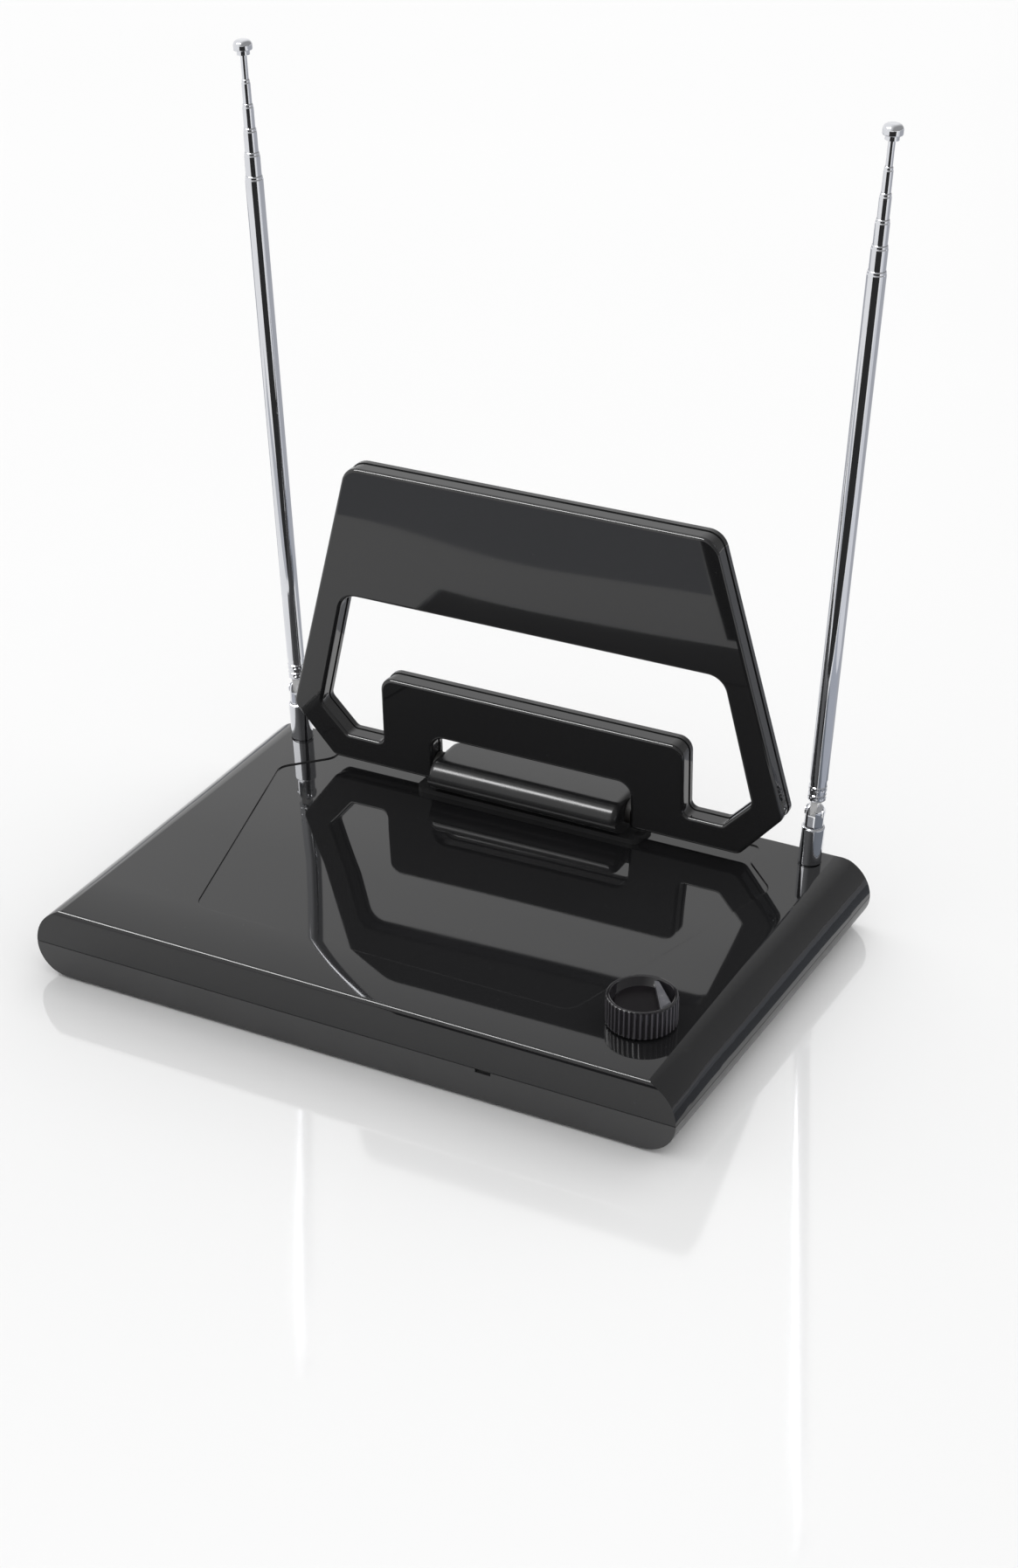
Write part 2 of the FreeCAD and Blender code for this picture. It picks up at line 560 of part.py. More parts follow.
def base_top_cover():
    body = new_body("base_top_cover")
    loft(body, "AdditiveLoft", "shell", upper_section, "base_depth / 2")
    loft(body, "SubtractiveLoft", "hollow", upper_hollow_section, "base_depth / 2 - shell_wall")
    faces = [value("base_depth / 2"), -value("base_depth / 2")]
    top = value("base_height")
    round_edges(
        body, "edge_round",
        lambda edge: any(lies_at(edge, "y", face) for face in faces) and lies_at(edge, "z", top),
    )
    recess = sketch_on(body, "XY_Plane", "recess", "base_height")
    front = f"{HINGE_Y} + loop_drop - loop_height - recess_front_margin"
    shoulder = f"{HINGE_Y} + loop_drop - loop_wide_at - recess_shoulder"
    heel = f"({LOOP_HEEL} + recess_heel_margin)"
    rear = f"{HINGE_Y} + recess_heel_end"
    polygon(recess, both_sides([
        (heel, rear, "recess_corner / 2"),
        (heel, f"{HINGE_Y} - recess_heel_start", "recess_corner"),
        (f"{LOOP_WIDE} + recess_side_margin", shoulder, "recess_corner"),
        (f"{LOOP_TOP} + recess_side_margin", front, "recess_corner"),
    ]))
    extrude("Pocket", recess, "recess_depth", body)
    levels = [value("base_height"), value(RECESS_FLOOR)]
    limit = value(f"{LOOP_WIDE} + recess_side_margin") + TOUCHING
    round_edges(
        body, "recess_edge",
        lambda edge: any(lies_at(edge, "z", level) for level in levels)
        and edge.BoundBox.XMax < limit and edge.BoundBox.XMin > -limit
        and edge.BoundBox.YMax < value(rear) + TOUCHING
        and edge.BoundBox.YMin > value(front) - TOUCHING,
    )
    posts = sketch_on(body, "XY_Plane", "posts", "post_seat_height")
    circles(posts, BASE_SCREWS, "post_diameter / 2")
    extrude("Pad", posts, f"{CEILING} - post_seat_height", body)
    pilots = sketch_on(body, "XY_Plane", "pilots", "post_seat_height")
    circles(pilots, BASE_SCREWS, "base_screw_diameter / 2 + press_gap")
    extrude("Pocket", pilots, "base_screw_length", body, back=True)
    drill(
        body, "control_neck / 2 + press_gap", "base_height",
        KNOB_X, KNOB_Y, "parting_height",
    )
    for side in (-1, 1):
        lean = FreeCAD.Rotation(Y_AXIS * side, 1)
        drill(
            body, "collar_diameter / 2 + seat_gap", "collar_height",
            f"{side} * ({ROD_X} - collar_seat * sin(rod_lean))", ROD_Y,
            "base_height - collar_seat * cos(rod_lean)", lean, "rod_lean",
        )
        drill(
            body, "stem_diameter / 2 + stem_clearance", "2 * stem_end",
            f"{side} * ({ROD_X} - stem_end * sin(rod_lean))", ROD_Y,
            "base_height - stem_end * cos(rod_lean)", lean, "rod_lean",
        )
    cut_lead_hole(body)


def base_bottom_cover():
    body = new_body("base_bottom_cover")
    loft(body, "AdditiveLoft", "shell", lower_section, "base_depth / 2")
    lip = sketch_on(body, "XY_Plane", "lip", LOWER_RIM)
    inset = "(shell_wall + lip_gap)"
    polygon(lip, [
        (f"-({HALF_FRONT} - {inset})", f"-(base_depth / 2 - {inset})"),
        (f"{HALF_FRONT} - {inset}", f"-(base_depth / 2 - {inset})"),
        (f"{HALF_REAR} - {inset}", f"base_depth / 2 - {inset}"),
        (f"-({HALF_REAR} - {inset})", f"base_depth / 2 - {inset}"),
    ])
    extrude("Pad", lip, "seam_gap + lip_height", body)
    loft(body, "SubtractiveLoft", "hollow", lower_hollow_section, "base_depth / 2 - shell_wall - lip_wall")
    places = BASE_SCREWS
    posts = sketch_on(body, "XY_Plane", "posts", FLOOR)
    circles(posts, places, "post_diameter / 2")
    extrude("Pad", posts, f"post_seat_height - {FLOOR}", body)
    sinks = sketch_on(body, "XY_Plane", "sinks", "foot_stand")
    circles(sinks, places, "base_screw_head / 2 + lip_gap")
    extrude("Pocket", sinks, "base_screw_sink", body, back=True)
    holes = sketch_on(body, "XY_Plane", "holes", "foot_stand")
    circles(holes, places, "base_screw_diameter / 2 + lip_gap")
    extrude("Pocket", holes, "post_seat_height", body, back=True)
    feet = sketch_on(body, "XY_Plane", "feet", "foot_stand")
    circles(feet, FEET, "foot_diameter / 2 + press_gap")
    extrude("Pocket", feet, "foot_sink", body, back=True)
    board_posts = sketch_on(body, "XY_Plane", "board_posts", FLOOR)
    row = f"{KNOB_Y} + board_shift_rear + board_width / 2 - board_post_diameter / 2"
    middle = f"({KNOB_X} - board_shift_side)"
    reach = "(board_length / 2 - board_post_diameter / 2)"
    places = [(f"{middle} - {reach}", row), (f"{middle} + {reach}", row)]
    circles(board_posts, places, "board_post_diameter / 2")
    extrude("Pad", board_posts, f"{BOARD_BOTTOM} - {FLOOR}", body)
    slot = sketch_on(body, "XZ_Plane", "pry_slot", "base_depth / 2")
    left = "pry_slot_x - pry_slot_width / 2"
    right = "pry_slot_x + pry_slot_width / 2"
    polygon(slot, [
        (left, f"{LOWER_RIM} - pry_slot_height"),
        (right, f"{LOWER_RIM} - pry_slot_height"),
        (right, "parting_height"),
        (left, "parting_height"),
    ])
    extrude("Pocket", slot, "pry_slot_depth", body)
    cut_lead_hole(body)


def rubber_feet():
    group("rubber_feet", [
        cylinder(f"foot_{n}", "foot_diameter", "foot_stand + foot_sink", x, y, "0")
        for n, (x, y) in enumerate(FEET, start=1)
    ])


def base_screws():
    screws = []
    seat = "(foot_stand + base_screw_sink)"
    for n, (x, y) in enumerate(BASE_SCREWS, start=1):
        head = cylinder(
            f"base_screw_head_{n}", "base_screw_head", "base_screw_head_height",
            x, y, f"{seat} - base_screw_head_height",
        )
        shank = cylinder(f"base_screw_shank_{n}", "base_screw_diameter", "base_screw_length", x, y, seat)
        screws.append(fused(f"base_screw_{n}", [head, shank]))
    group("base_screws", screws)


def ballast_plate():
    body = new_body("ballast_plate")
    plate = sketch_on(body, "XY_Plane", "plate", FLOOR)
    corner = "2 * ballast_thickness"
    reach = f"({KNOB_X} - board_shift_side - board_length / 2 - ballast_gap)"
    polygon(plate, [
        (f"-{reach}", "-ballast_width / 2", corner),
        (reach, "-ballast_width / 2", corner),
        (reach, "ballast_width / 2", corner),
        (f"-{reach}", "ballast_width / 2", corner),
    ])
    extrude("Pad", plate, "ballast_thickness", body)


def lead_grommet():
    """Rubber ring in the rear wall, flush outside, with a flange behind the wall."""
    body = new_body("lead_grommet")
    section = sketch_on(body, "XZ_Plane", "section")
    inner = "-(shell_wall + lip_wall)"
    polygon(section, [
        ("lead_diameter / 2", "0"),
        ("lead_diameter / 2", f"{inner} - grommet_flange_thickness"),
        ("grommet_flange / 2", f"{inner} - grommet_flange_thickness"),
        ("grommet_flange / 2", inner),
        ("grommet_diameter / 2", inner),
        ("grommet_diameter / 2", "0"),
    ])
    revolve(body, section)
    body.Placement = FreeCAD.Placement(FreeCAD.Vector(), ALONG_Y)
    bind(body, Placement__Base__x="-lead_x", Placement__Base__y="base_depth / 2")
    bind(body, Placement__Base__z="parting_height")


# Tuning control and knob

def circuit_board():
    body = new_body("circuit_board")
    blank = sketch_on(body, "XY_Plane", "outline", BOARD_BOTTOM)
    polygon(blank, [
        ("-board_shift_side - board_length / 2", "board_shift_rear - board_width / 2"),
        ("-board_shift_side + board_length / 2", "board_shift_rear - board_width / 2"),
        ("-board_shift_side + board_length / 2", "board_shift_rear + board_width / 2"),
        ("-board_shift_side - board_length / 2", "board_shift_rear + board_width / 2"),
    ])
    extrude("Pad", blank, "board_thickness", body)
    place_at_knob(body)


def place_at_knob(thing):
    bind(thing, Placement__Base__x=KNOB_X, Placement__Base__y=KNOB_Y)


def tuning_control():
    """Round can under the top cover, with a threaded neck up through it."""
    body = new_body("tuning_control")
    section = sketch_on(body, "XZ_Plane", "section")
    bore = "shaft_diameter / 2 + running_gap"
    neck_top = "base_height + control_nut_height"
    polygon(section, [
        (bore, f"{CONTROL_BOTTOM} + control_height / 2"),
        ("0", f"{CONTROL_BOTTOM} + control_height / 2"),
        ("0", CONTROL_BOTTOM),
        ("control_diameter / 2", CONTROL_BOTTOM),
        ("control_diameter / 2", CEILING),
        ("control_neck / 2", CEILING),
        ("control_neck / 2", neck_top),
        (bore, neck_top),
    ])
    revolve(body, section)
    place_at_knob(body)


def hexagon(flats):
    """Corners of a hexagon from its width across flats."""
    reach = f"{flats} / sqrt(3)"
    return [(f"{reach} * cos({turn})", f"{reach} * sin({turn})") for turn in range(0, 360, 60)]


def hexagon_nut(label, flats, bore, bottom, height):
    body = new_body(label)
    outline = sketch_on(body, "XY_Plane", "outline", bottom)
    polygon(outline, hexagon(flats))
    circles(outline, [("0", "0")], bore)
    extrude("Pad", outline, height, body)
    return body


def control_nut():
    bore = "control_neck / 2 + press_gap"
    nut = hexagon_nut("control_nut", "control_nut_flats", bore, "base_height", "control_nut_height")
    place_at_knob(nut)


def control_shaft():
    shaft = cylinder(
        "control_shaft", "shaft_diameter",
        f"{KNOB_BOTTOM} + knob_hollow_depth + shaft_grip - {SHAFT_BOTTOM}",
        KNOB_X, KNOB_Y, SHAFT_BOTTOM,
    )
    sub_parts.append(shaft)


def tuning_knob():
    """Fluted cap, dished on top inside a rim, hollow below, with a tapered pointer rib in the dish."""
    body = new_body("tuning_knob")
    section = sketch_on(body, "XZ_Plane", "section")
    top = f"({KNOB_BOTTOM} + knob_height)"
    rim_inner = "(knob_diameter / 2 - knob_rim)"
    hollow_top = f"{KNOB_BOTTOM} + knob_hollow_depth"
    edge = "knob_rim / 3"
    radius = "knob_diameter / 2"
    polygon(section, [
        ("shaft_diameter / 2 + press_gap", hollow_top),
        ("knob_hollow / 2", hollow_top),
        ("knob_hollow / 2", KNOB_BOTTOM),
        (radius, KNOB_BOTTOM),
        (radius, f"{top} - {edge}"),
        (f"{radius} - {edge}", top),
        (f"{rim_inner} + {edge}", top),
        (rim_inner, f"{top} - {edge}"),
        (f"{rim_inner} - knob_dish / 2", f"{top} - knob_dish"),
        ("0", f"{top} - knob_dish"),
        ("0", f"{hollow_top} + shaft_grip"),
        ("shaft_diameter / 2 + press_gap", f"{hollow_top} + shaft_grip"),
    ])
    revolve(body, section)
    flute = sketch_on(body, "XY_Plane", "flute", f"{KNOB_BOTTOM} - knob_lift / 2")
    circles(flute, [("0", "knob_diameter / 2 + flute_radius / 3")], "flute_radius")
    first = extrude("Pocket", flute, "knob_height + knob_lift", body, back=True)
    ring = body.newObject("PartDesign::PolarPattern", "tuning_knob_flutes")
    ring.Originals = [first]
    ring.Axis = (flute, ["N_Axis"])
    ring.Angle = 360
    bind(ring, Occurrences="flute_count")
    body.Tip = ring
    rib = sketch_on(body, "XY_Plane", "rib", f"{top} - knob_dish")
    rear = f"{rim_inner} - pointer_rear_gap"
    front = f"-({rim_inner} - pointer_front_gap)"
    polygon(rib, [
        ("pointer_rear_aside - pointer_narrow / 2", rear),
        ("pointer_front_aside - pointer_broad / 2", front),
        ("pointer_front_aside + pointer_broad / 2", front),
        ("pointer_rear_aside + pointer_narrow / 2", rear),
    ])
    extrude("Pad", rib, "knob_dish", body)
    place_at_knob(body)


# Loop hinge

def bore_for_pin(body):
    radius = "pin_diameter / 2 + press_gap"
    drill(body, radius, "2 * notch_width", "-notch_width", HINGE_Y, HINGE_Z, ALONG_X)


def hinge_bracket():
    """Lower half of the hinge block with its set-back neck and the pedestal that it stands on."""
    body = new_body("hinge_bracket")
    section = sketch_on(body, "YZ_Plane", "section")
    underside = f"({HINGE_Z} - {LOWER_RADIUS})"
    neck = f"{HINGE_Y} - neck_depth"
    profile(section, [
        (f"{BLOCK_NOSE} - {LOWER_RADIUS}", HINGE_Z, (BLOCK_NOSE, HINGE_Z)),
        (BLOCK_NOSE, underside),
        (neck, underside),
        (neck, RECESS_FLOOR),
        (HINGE_Y, RECESS_FLOOR),
        (HINGE_Y, underside),
        (f"{HINGE_Y} + block_tail - block_step", underside),
        (f"{HINGE_Y} + block_tail - block_step", HINGE_Z),
    ])
    extrude("Pad", section, f"2 * {BLOCK_HALF}", body, symmetric=True)
    pedestal = sketch_on(body, "XY_Plane", "pedestal", RECESS_FLOOR)
    polygon(pedestal, both_sides([
        (f"{BLOCK_HALF} + pedestal_margin", f"{HINGE_Y} - pedestal_front", "pedestal_corner"),
        (f"{BLOCK_HALF} + pedestal_margin", f"{HINGE_Y} + pedestal_rear", "pedestal_corner"),
    ]))
    extrude("Pad", pedestal, "pedestal_height", body)
    bore_for_pin(body)


def hinge_cap():
    """Upper half of the hinge block, round in front and flat on top."""
    body = new_body("hinge_cap")
    section = sketch_on(body, "YZ_Plane", "section")
    tail = f"({HINGE_Y} + block_tail)"
    profile(section, [
        (f"{BLOCK_NOSE} - block_radius", HINGE_Z, (BLOCK_NOSE, HINGE_Z)),
        (BLOCK_NOSE, f"{HINGE_Z} + block_radius"),
        (tail, f"{HINGE_Z} + block_radius"),
        (tail, HINGE_Z),
    ])
    extrude("Pad", section, f"2 * {BLOCK_HALF}", body, symmetric=True)
    seam = value(HINGE_Z)
    ends = [("x", value(BLOCK_HALF)), ("x", -value(BLOCK_HALF)), ("y", value(tail))]
    round_edges(
        body, "block_edge",
        lambda edge: any(lies_at(edge, axis, end) for axis, end in ends) and not lies_at(edge, "z", seam),
    )
    bore_for_pin(body)


def hinge_pin():
    length = "notch_width + 2 * pin_grip"
    start = f"-({length}) / 2"
    sub_parts.append(cylinder("hinge_pin", "pin_diameter", length, start, HINGE_Y, HINGE_Z, ALONG_X))


def hinge_washers():
    """Friction washers that fill the gaps between the block's ends and the notch walls."""
    inner = f"{BLOCK_HALF} + running_gap"
    bore = "pin_diameter + 2 * press_gap"
    washers = []
    for name, start in (("left", f"-({inner}) - washer_thickness"), ("right", inner)):
        place = ("washer_thickness", start, HINGE_Y, HINGE_Z, ALONG_X)
        disc = cylinder(f"{name}_disc", "washer_diameter", *place)
        hole = cylinder(f"{name}_hole", bore, *place)
        washers.append(cut_from(f"{name}_washer", disc, hole))
    group("hinge_washers", washers)


# Loop panel, drawn about the hinge axis

def above_edge(height):
    """A height above the loop's lower edge, measured from the hinge axis."""
    return f"({height} - loop_drop)"


def loop_outline(sketch):
    """Tapered panel with a hinge notch, and a window that the tab stands up into."""
    polygon(sketch, both_sides([
        ("notch_width / 2", above_edge("notch_top"), "notch_corner"),
        ("notch_width / 2", "-loop_drop"),
        (LOOP_HEEL, "-loop_drop", "loop_side_corner"),
        (LOOP_WIDE, above_edge("loop_wide_at"), "loop_side_corner"),
        (LOOP_TOP, above_edge("loop_height"), "loop_top_corner"),
    ]))
    polygon(sketch, both_sides([
        (TAB_HALF, above_edge("tab_top"), "tab_corner"),
        (TAB_HALF, above_edge("window_bottom"), "window_small_corner"),
        (WINDOW_HEEL, above_edge("window_bottom"), "window_small_corner"),
        (WINDOW_WIDE, above_edge("window_wide_at"), "window_small_corner"),
        (WINDOW_TOP, above_edge("window_top"), "window_corner"),
    ]))
    return sketch


def inset_outline(body, sketch, name, inset):
    """The loop's outline drawn in all round by an inset."""
    binder = body.newObject("PartDesign::SubShapeBinder", f"{body.Name}_{name}")
    binder.Support = [(sketch, ("",))]
    binder.MakeFace = True
    bind(binder, Offset=f"-{inset}")
    return binder


def stand_at_hinge(thing):
    """Moves what is drawn about the hinge axis to its place, leaning forward."""
    thing.Placement = FreeCAD.Placement(FreeCAD.Vector(), FreeCAD.Rotation(X_AXIS, 1))
    bind(thing, Placement__Base__y=HINGE_Y, Placement__Base__z=HINGE_Z)
    bind(thing, Placement__Rotation__Angle="loop_lean")


LOOP_SCREWS = [
    (
        f"{side} * ({half_width} - loop_screw_{place}_inset)",
        above_edge(f"{height} - loop_screw_{place}_inset"),
    )
    for place, half_width, height in (("top", LOOP_TOP, "loop_height"), ("tab", TAB_HALF, "tab_top"))
    for side in (-1, 1)
]


def loop_cover(label, side):
    """One half of the panel, hollow, with a set-in band at the seam. Side is 1 in front and -1 behind."""
    body = new_body(label)
    rear = side < 0
    outline = loop_outline(sketch_on(body, "XZ_Plane", "outline", f"{side} * band_half"))
    extrude("Pad", outline, f"{LOOP_HALF} - band_half", body, back=rear)
    band = inset_outline(body, outline, "band", "band_inset")
    extrude("Pad", band, "band_half", body, back=rear)
    face = -side * value(LOOP_HALF)
    round_edges(body, "loop_edge", lambda edge: lies_at(edge, "y", face))
    room = inset_outline(body, outline, "room", "loop_wall")
    hollow = extrude("Pocket", room, f"{LOOP_CAVITY} - band_half", body, back=rear)
    hollow.SideType = "Two sides"
    bind(hollow, Length2="band_half")
    lugs = sketch_on(body, "XZ_Plane", "lugs")
    low = "-loop_drop + band_inset"
    high = above_edge("window_bottom - loop_wall")
    for across in (-1, 1):
        near = f"{across} * (notch_width / 2 + band_inset)"
        far = f"{across} * (notch_width / 2 + pin_grip + loop_wall)"
        polygon(lugs, [(near, low), (far, low), (far, high), (near, high)])
    extrude("Pad", lugs, LOOP_CAVITY, body, back=rear)
    posts = circles(sketch_on(body, "XZ_Plane", "posts"), LOOP_SCREWS, "loop_post_diameter / 2")
    extrude("Pad", posts, LOOP_CAVITY, body, back=rear)
    grip = "notch_width + 2 * pin_grip + loop_wall"
    drill(body, "pin_diameter / 2 + running_gap", grip, f"-({grip}) / 2", "0", "0", ALONG_X)
    screw_gap = "lip_gap" if rear else "press_gap"
    holes = sketch_on(body, "XZ_Plane", "holes")
    circles(holes, LOOP_SCREWS, f"loop_screw_diameter / 2 + {screw_gap}")
    extrude("Pocket", holes, LOOP_HALF if rear else LOOP_CAVITY, body, back=not rear)
    if rear:
        sinks = sketch_on(body, "XZ_Plane", "sinks", f"-{LOOP_HALF}")
        circles(sinks, LOOP_SCREWS, "loop_screw_head / 2 + lip_gap")
        extrude("Pocket", sinks, "loop_screw_head_height", body, back=True)
    stand_at_hinge(body)


def loop_conductor():
    """Wire along the sides and across the top, laid against the front cover's inner face."""
    body = new_body("loop_conductor")
    depth = f"({LOOP_CAVITY} - conductor_diameter / 2 - conductor_gap)"
    low = above_edge("window_bottom / 2")
    bend = "2 * conductor_diameter"
    start = f"({TAB_HALF} + conductor_diameter)"
    right = [
        (start, low),
        (f"({WINDOW_HEEL} + {LOOP_HEEL}) / 2", low, bend),
        (f"({WINDOW_WIDE} + {LOOP_WIDE}) / 2", above_edge("(window_wide_at + loop_wide_at) / 2"), bend),
        (LOOP_TOP, above_edge("(window_top + loop_height) / 2"), bend),
    ]
    path = sketch_on(body, "XZ_Plane", "path", depth)
    polygon(path, both_sides(right), closed=False)
    section = sketch_on(body, "YZ_Plane", "section", start)
    circles(section, [(f"-{depth}", low)], "conductor_diameter / 2")
    wire = body.newObject("PartDesign::AdditivePipe", "loop_conductor_wire")
    wire.Profile = section
    wire.Spine = path
    stand_at_hinge(body)


def loop_screws():
    screws = []
    seat = f"({LOOP_HALF} - loop_screw_head_height)"
    shank_length = f"{seat} + {LOOP_CAVITY}"
    for n, (x, z) in enumerate(LOOP_SCREWS, start=1):
        head = cylinder(
            f"loop_screw_head_{n}", "loop_screw_head", "loop_screw_head_height", x, seat, z, ALONG_Y,
        )
        shank = cylinder(
            f"loop_screw_shank_{n}", "loop_screw_diameter", shank_length,
            x, f"-{LOOP_CAVITY}", z, ALONG_Y,
        )
        screws.append(fused(f"loop_screw_{n}", [head, shank]))
    stand_at_hinge(group("loop_screws", screws))


# Telescopic rods, drawn upright from the middle of the collar's foot

SECTION_COUNT = 6


def stand_at_rod(thing, side):
    """Moves what is drawn upright to its corner of the base, leaning out. Side is -1 left, 1 right."""
    thing.Placement = FreeCAD.Placement(FreeCAD.Vector(), FreeCAD.Rotation(Y_AXIS * side, 1))
    bind(thing, Placement__Base__x=f"{side} * {ROD_X}", Placement__Base__y=ROD_Y)
    bind(thing, Placement__Base__z="base_height", Placement__Rotation__Angle="rod_lean")


def turned(label, side, corners):
    """A piece turned about the rod's axis from corners of radius and height."""
    body = new_body(label)
    revolve(body, polygon(sketch_on(body, "XZ_Plane", "section"), corners))
    stand_at_rod(body, side)
    return body


def outer_radius(section):
    """Radius of a telescope section, counted from 1 at the knuckle."""
    return f"(rod_diameter / 2 - {section - 1} * diameter_step / 2)"


def bore_radius(section):
    return f"({outer_radius(section)} - tube_wall)"


def section_bottom(section):
    """Lower end of a section's tube when it is pushed in."""
    return f"(tube_bottom + {section - 1} * section_step)"


def collar(name, side):
    turned(f"{name}_collar", side, [
        ("stem_diameter / 2 + running_gap", "-collar_seat"),
        ("collar_diameter / 2", "-collar_seat"),
        ("collar_diameter / 2", "collar_height - collar_edge"),
        ("collar_diameter / 2 - collar_edge", "collar_height"),
        ("fork_diameter / 2 + running_gap", "collar_height"),
        ("fork_diameter / 2 + running_gap", "collar_floor"),
        ("stem_diameter / 2 + running_gap", "collar_floor"),
    ])


def fork(name, side):
    """Stem and shank turned in one piece, slotted across, with round, flatted ears."""
    body = new_body(f"{name}_fork")
    ear = "fork_diameter / 2"
    blank_top = f"pivot_height + {ear} + rivet_head_height"
    section = sketch_on(body, "XZ_Plane", "section")
    polygon(section, [
        ("0", "-stem_end"),
        ("stem_diameter / 2", "-stem_end"),
        ("stem_diameter / 2", "collar_floor + running_gap"),
        (ear, "collar_floor + running_gap"),
        (ear, blank_top),
        ("0", blank_top),
    ])
    revolve(body, section)
    slot = sketch_on(body, "XZ_Plane", "slot")
    polygon(slot, [
        ("-fork_slot / 2", "fork_slot_floor"),
        ("fork_slot / 2", "fork_slot_floor"),
        ("fork_slot / 2", f"{blank_top} + fork_slot"),
        ("-fork_slot / 2", f"{blank_top} + fork_slot"),
    ])
    extrude("Pocket", slot, "2 * fork_diameter", body, symmetric=True)
    flats = sketch_on(body, "XZ_Plane", "flats")
    for across in (-1, 1):
        polygon(flats, [
            (f"{across} * fork_flats / 2", "collar_height + collar_edge"),
            (f"{across} * fork_diameter", "collar_height + collar_edge"),
            (f"{across} * fork_diameter", f"{blank_top} + fork_slot"),
            (f"{across} * fork_flats / 2", f"{blank_top} + fork_slot"),
        ])
    extrude("Pocket", flats, "2 * fork_diameter", body, symmetric=True)
    crown = sketch_on(body, "YZ_Plane", "crown")
    pivot = ("0", "pivot_height")
    profile(crown, [
        ("-fork_diameter", "pivot_height"),
        (f"-{ear}", "pivot_height", pivot),
        ("0", f"pivot_height + {ear}", pivot),
        (ear, "pivot_height"),
        ("fork_diameter", "pivot_height"),
        ("fork_diameter", f"{blank_top} + fork_slot"),
        ("-fork_diameter", f"{blank_top} + fork_slot"),
    ])
    extrude("Pocket", crown, "2 * fork_diameter", body, symmetric=True)
    drill(
        body, "rivet_diameter / 2 + press_gap", "2 * fork_diameter",
        "-fork_diameter", "0", "pivot_height", ALONG_X,
    )
    stand_at_rod(body, side)


def swivel_nut(name, side):
    top = f"({CEILING} - base_height - swivel_nut_gap)"
    bore = "stem_diameter / 2 + press_gap"
    nut = hexagon_nut(
        f"{name}_swivel_nut", "swivel_nut_flats", bore, f"{top} - swivel_nut_height", "swivel_nut_height",
    )
    stand_at_rod(nut, side)


def rivet(name, side):
    """Pivot through both ears, headed on each flat."""
    face = "fork_flats / 2"
    axis = ("0", "pivot_height", ALONG_X)
    shank = cylinder(f"{name}_rivet_shank", "rivet_diameter", "fork_flats", f"-{face}", *axis)
    heads = [
        cylinder(f"{name}_rivet_head_{end}", "rivet_head", "rivet_head_height", start, *axis)
        for end, start in (("inner", f"-{face} - rivet_head_height"), ("outer", face))
    ]
    piece = fused(f"{name}_rivet", [shank, *heads])
    sub_parts.append(piece)
    stand_at_rod(piece, side)


def tang(name, side):
    """Flat tongue with a round end, then a turned ferrule with a plug that goes up into the first tube."""
    body = new_body(f"{name}_tang")
    tongue = sketch_on(body, "YZ_Plane", "tongue")
    pivot = ("0", "pivot_height")
    profile(tongue, [
        ("-tongue_radius", "pivot_height", pivot),
        ("0", "pivot_height - tongue_radius", pivot),
        ("tongue_radius", "pivot_height"),
        ("tongue_radius", "ferrule_top"),
        ("-tongue_radius", "ferrule_top"),
    ])
    extrude("Pad", tongue, "tongue_thickness", body, symmetric=True)
    ferrule = sketch_on(body, "XZ_Plane", "ferrule")
    plug = f"{bore_radius(1)} - press_gap"
    plug_top = f"{section_bottom(2)} - bush_length"
    polygon(ferrule, [
        ("0", "ferrule_bottom"),
        ("rod_diameter / 2", "ferrule_bottom"),
        ("rod_diameter / 2", "ferrule_top"),
        ("rod_diameter / 2 - ferrule_groove", "ferrule_top"),
        ("rod_diameter / 2 - ferrule_groove", "tube_bottom"),
        (plug, "tube_bottom"),
        (plug, plug_top),
        ("0", plug_top),
    ])
    revolve(body, ferrule)
    drill(
        body, "rivet_diameter / 2 + running_gap", "2 * fork_diameter",
        "-fork_diameter", "0", "pivot_height", ALONG_X,
    )
    stand_at_rod(body, side)


def tube(name, side, section):
    """One section: a thin tube whose mouth is rolled in round the next section."""
    top = f"({section_bottom(section)} + tube_length)"
    mouth = f"{outer_radius(section + 1)} + running_gap"
    turned(f"{name}_tube_{section}", side, [
        (bore_radius(section), section_bottom(section)),
        (outer_radius(section), section_bottom(section)),
        (outer_radius(section), f"{top} - mouth_chamfer"),
        (f"{outer_radius(section)} - mouth_chamfer / 2", top),
        (mouth, top),
        (mouth, f"{top} - mouth_lip"),
        (bore_radius(section), f"{top} - mouth_lip"),
    ])


def bush(name, side, section):
    """Piston below a section that slides in the tube outside it, with a plug pressed into its own tube."""
    piston = f"{bore_radius(section - 1)} - running_gap"
    plug = f"{bore_radius(section)} - press_gap"
    bottom = section_bottom(section)
    turned(f"{name}_bush_{section}", side, [
        ("0", f"{bottom} - bush_length"),
        (piston, f"{bottom} - bush_length"),
        (piston, bottom),
        (plug, bottom),
        (plug, f"{section_bottom(section + 1)} - bush_length"),
        ("0", f"{section_bottom(section + 1)} - bush_length"),
    ])


TIP_BOTTOM = f"({section_bottom(SECTION_COUNT)} + tube_length)"


def tip_rod(name, side):
    """Last section: a solid rod with its lower end upset to a piston."""
    piston = f"{bore_radius(SECTION_COUNT - 1)} - running_gap"
    bottom = section_bottom(SECTION_COUNT)
    top = f"{TIP_BOTTOM} + tip_cap_bore_depth"
    turned(f"{name}_tip_rod", side, [
        ("0", f"{bottom} - bush_length"),
        (piston, f"{bottom} - bush_length"),
        (piston, bottom),
        (outer_radius(SECTION_COUNT), bottom),
        (outer_radius(SECTION_COUNT), top),
        ("0", top),
    ])


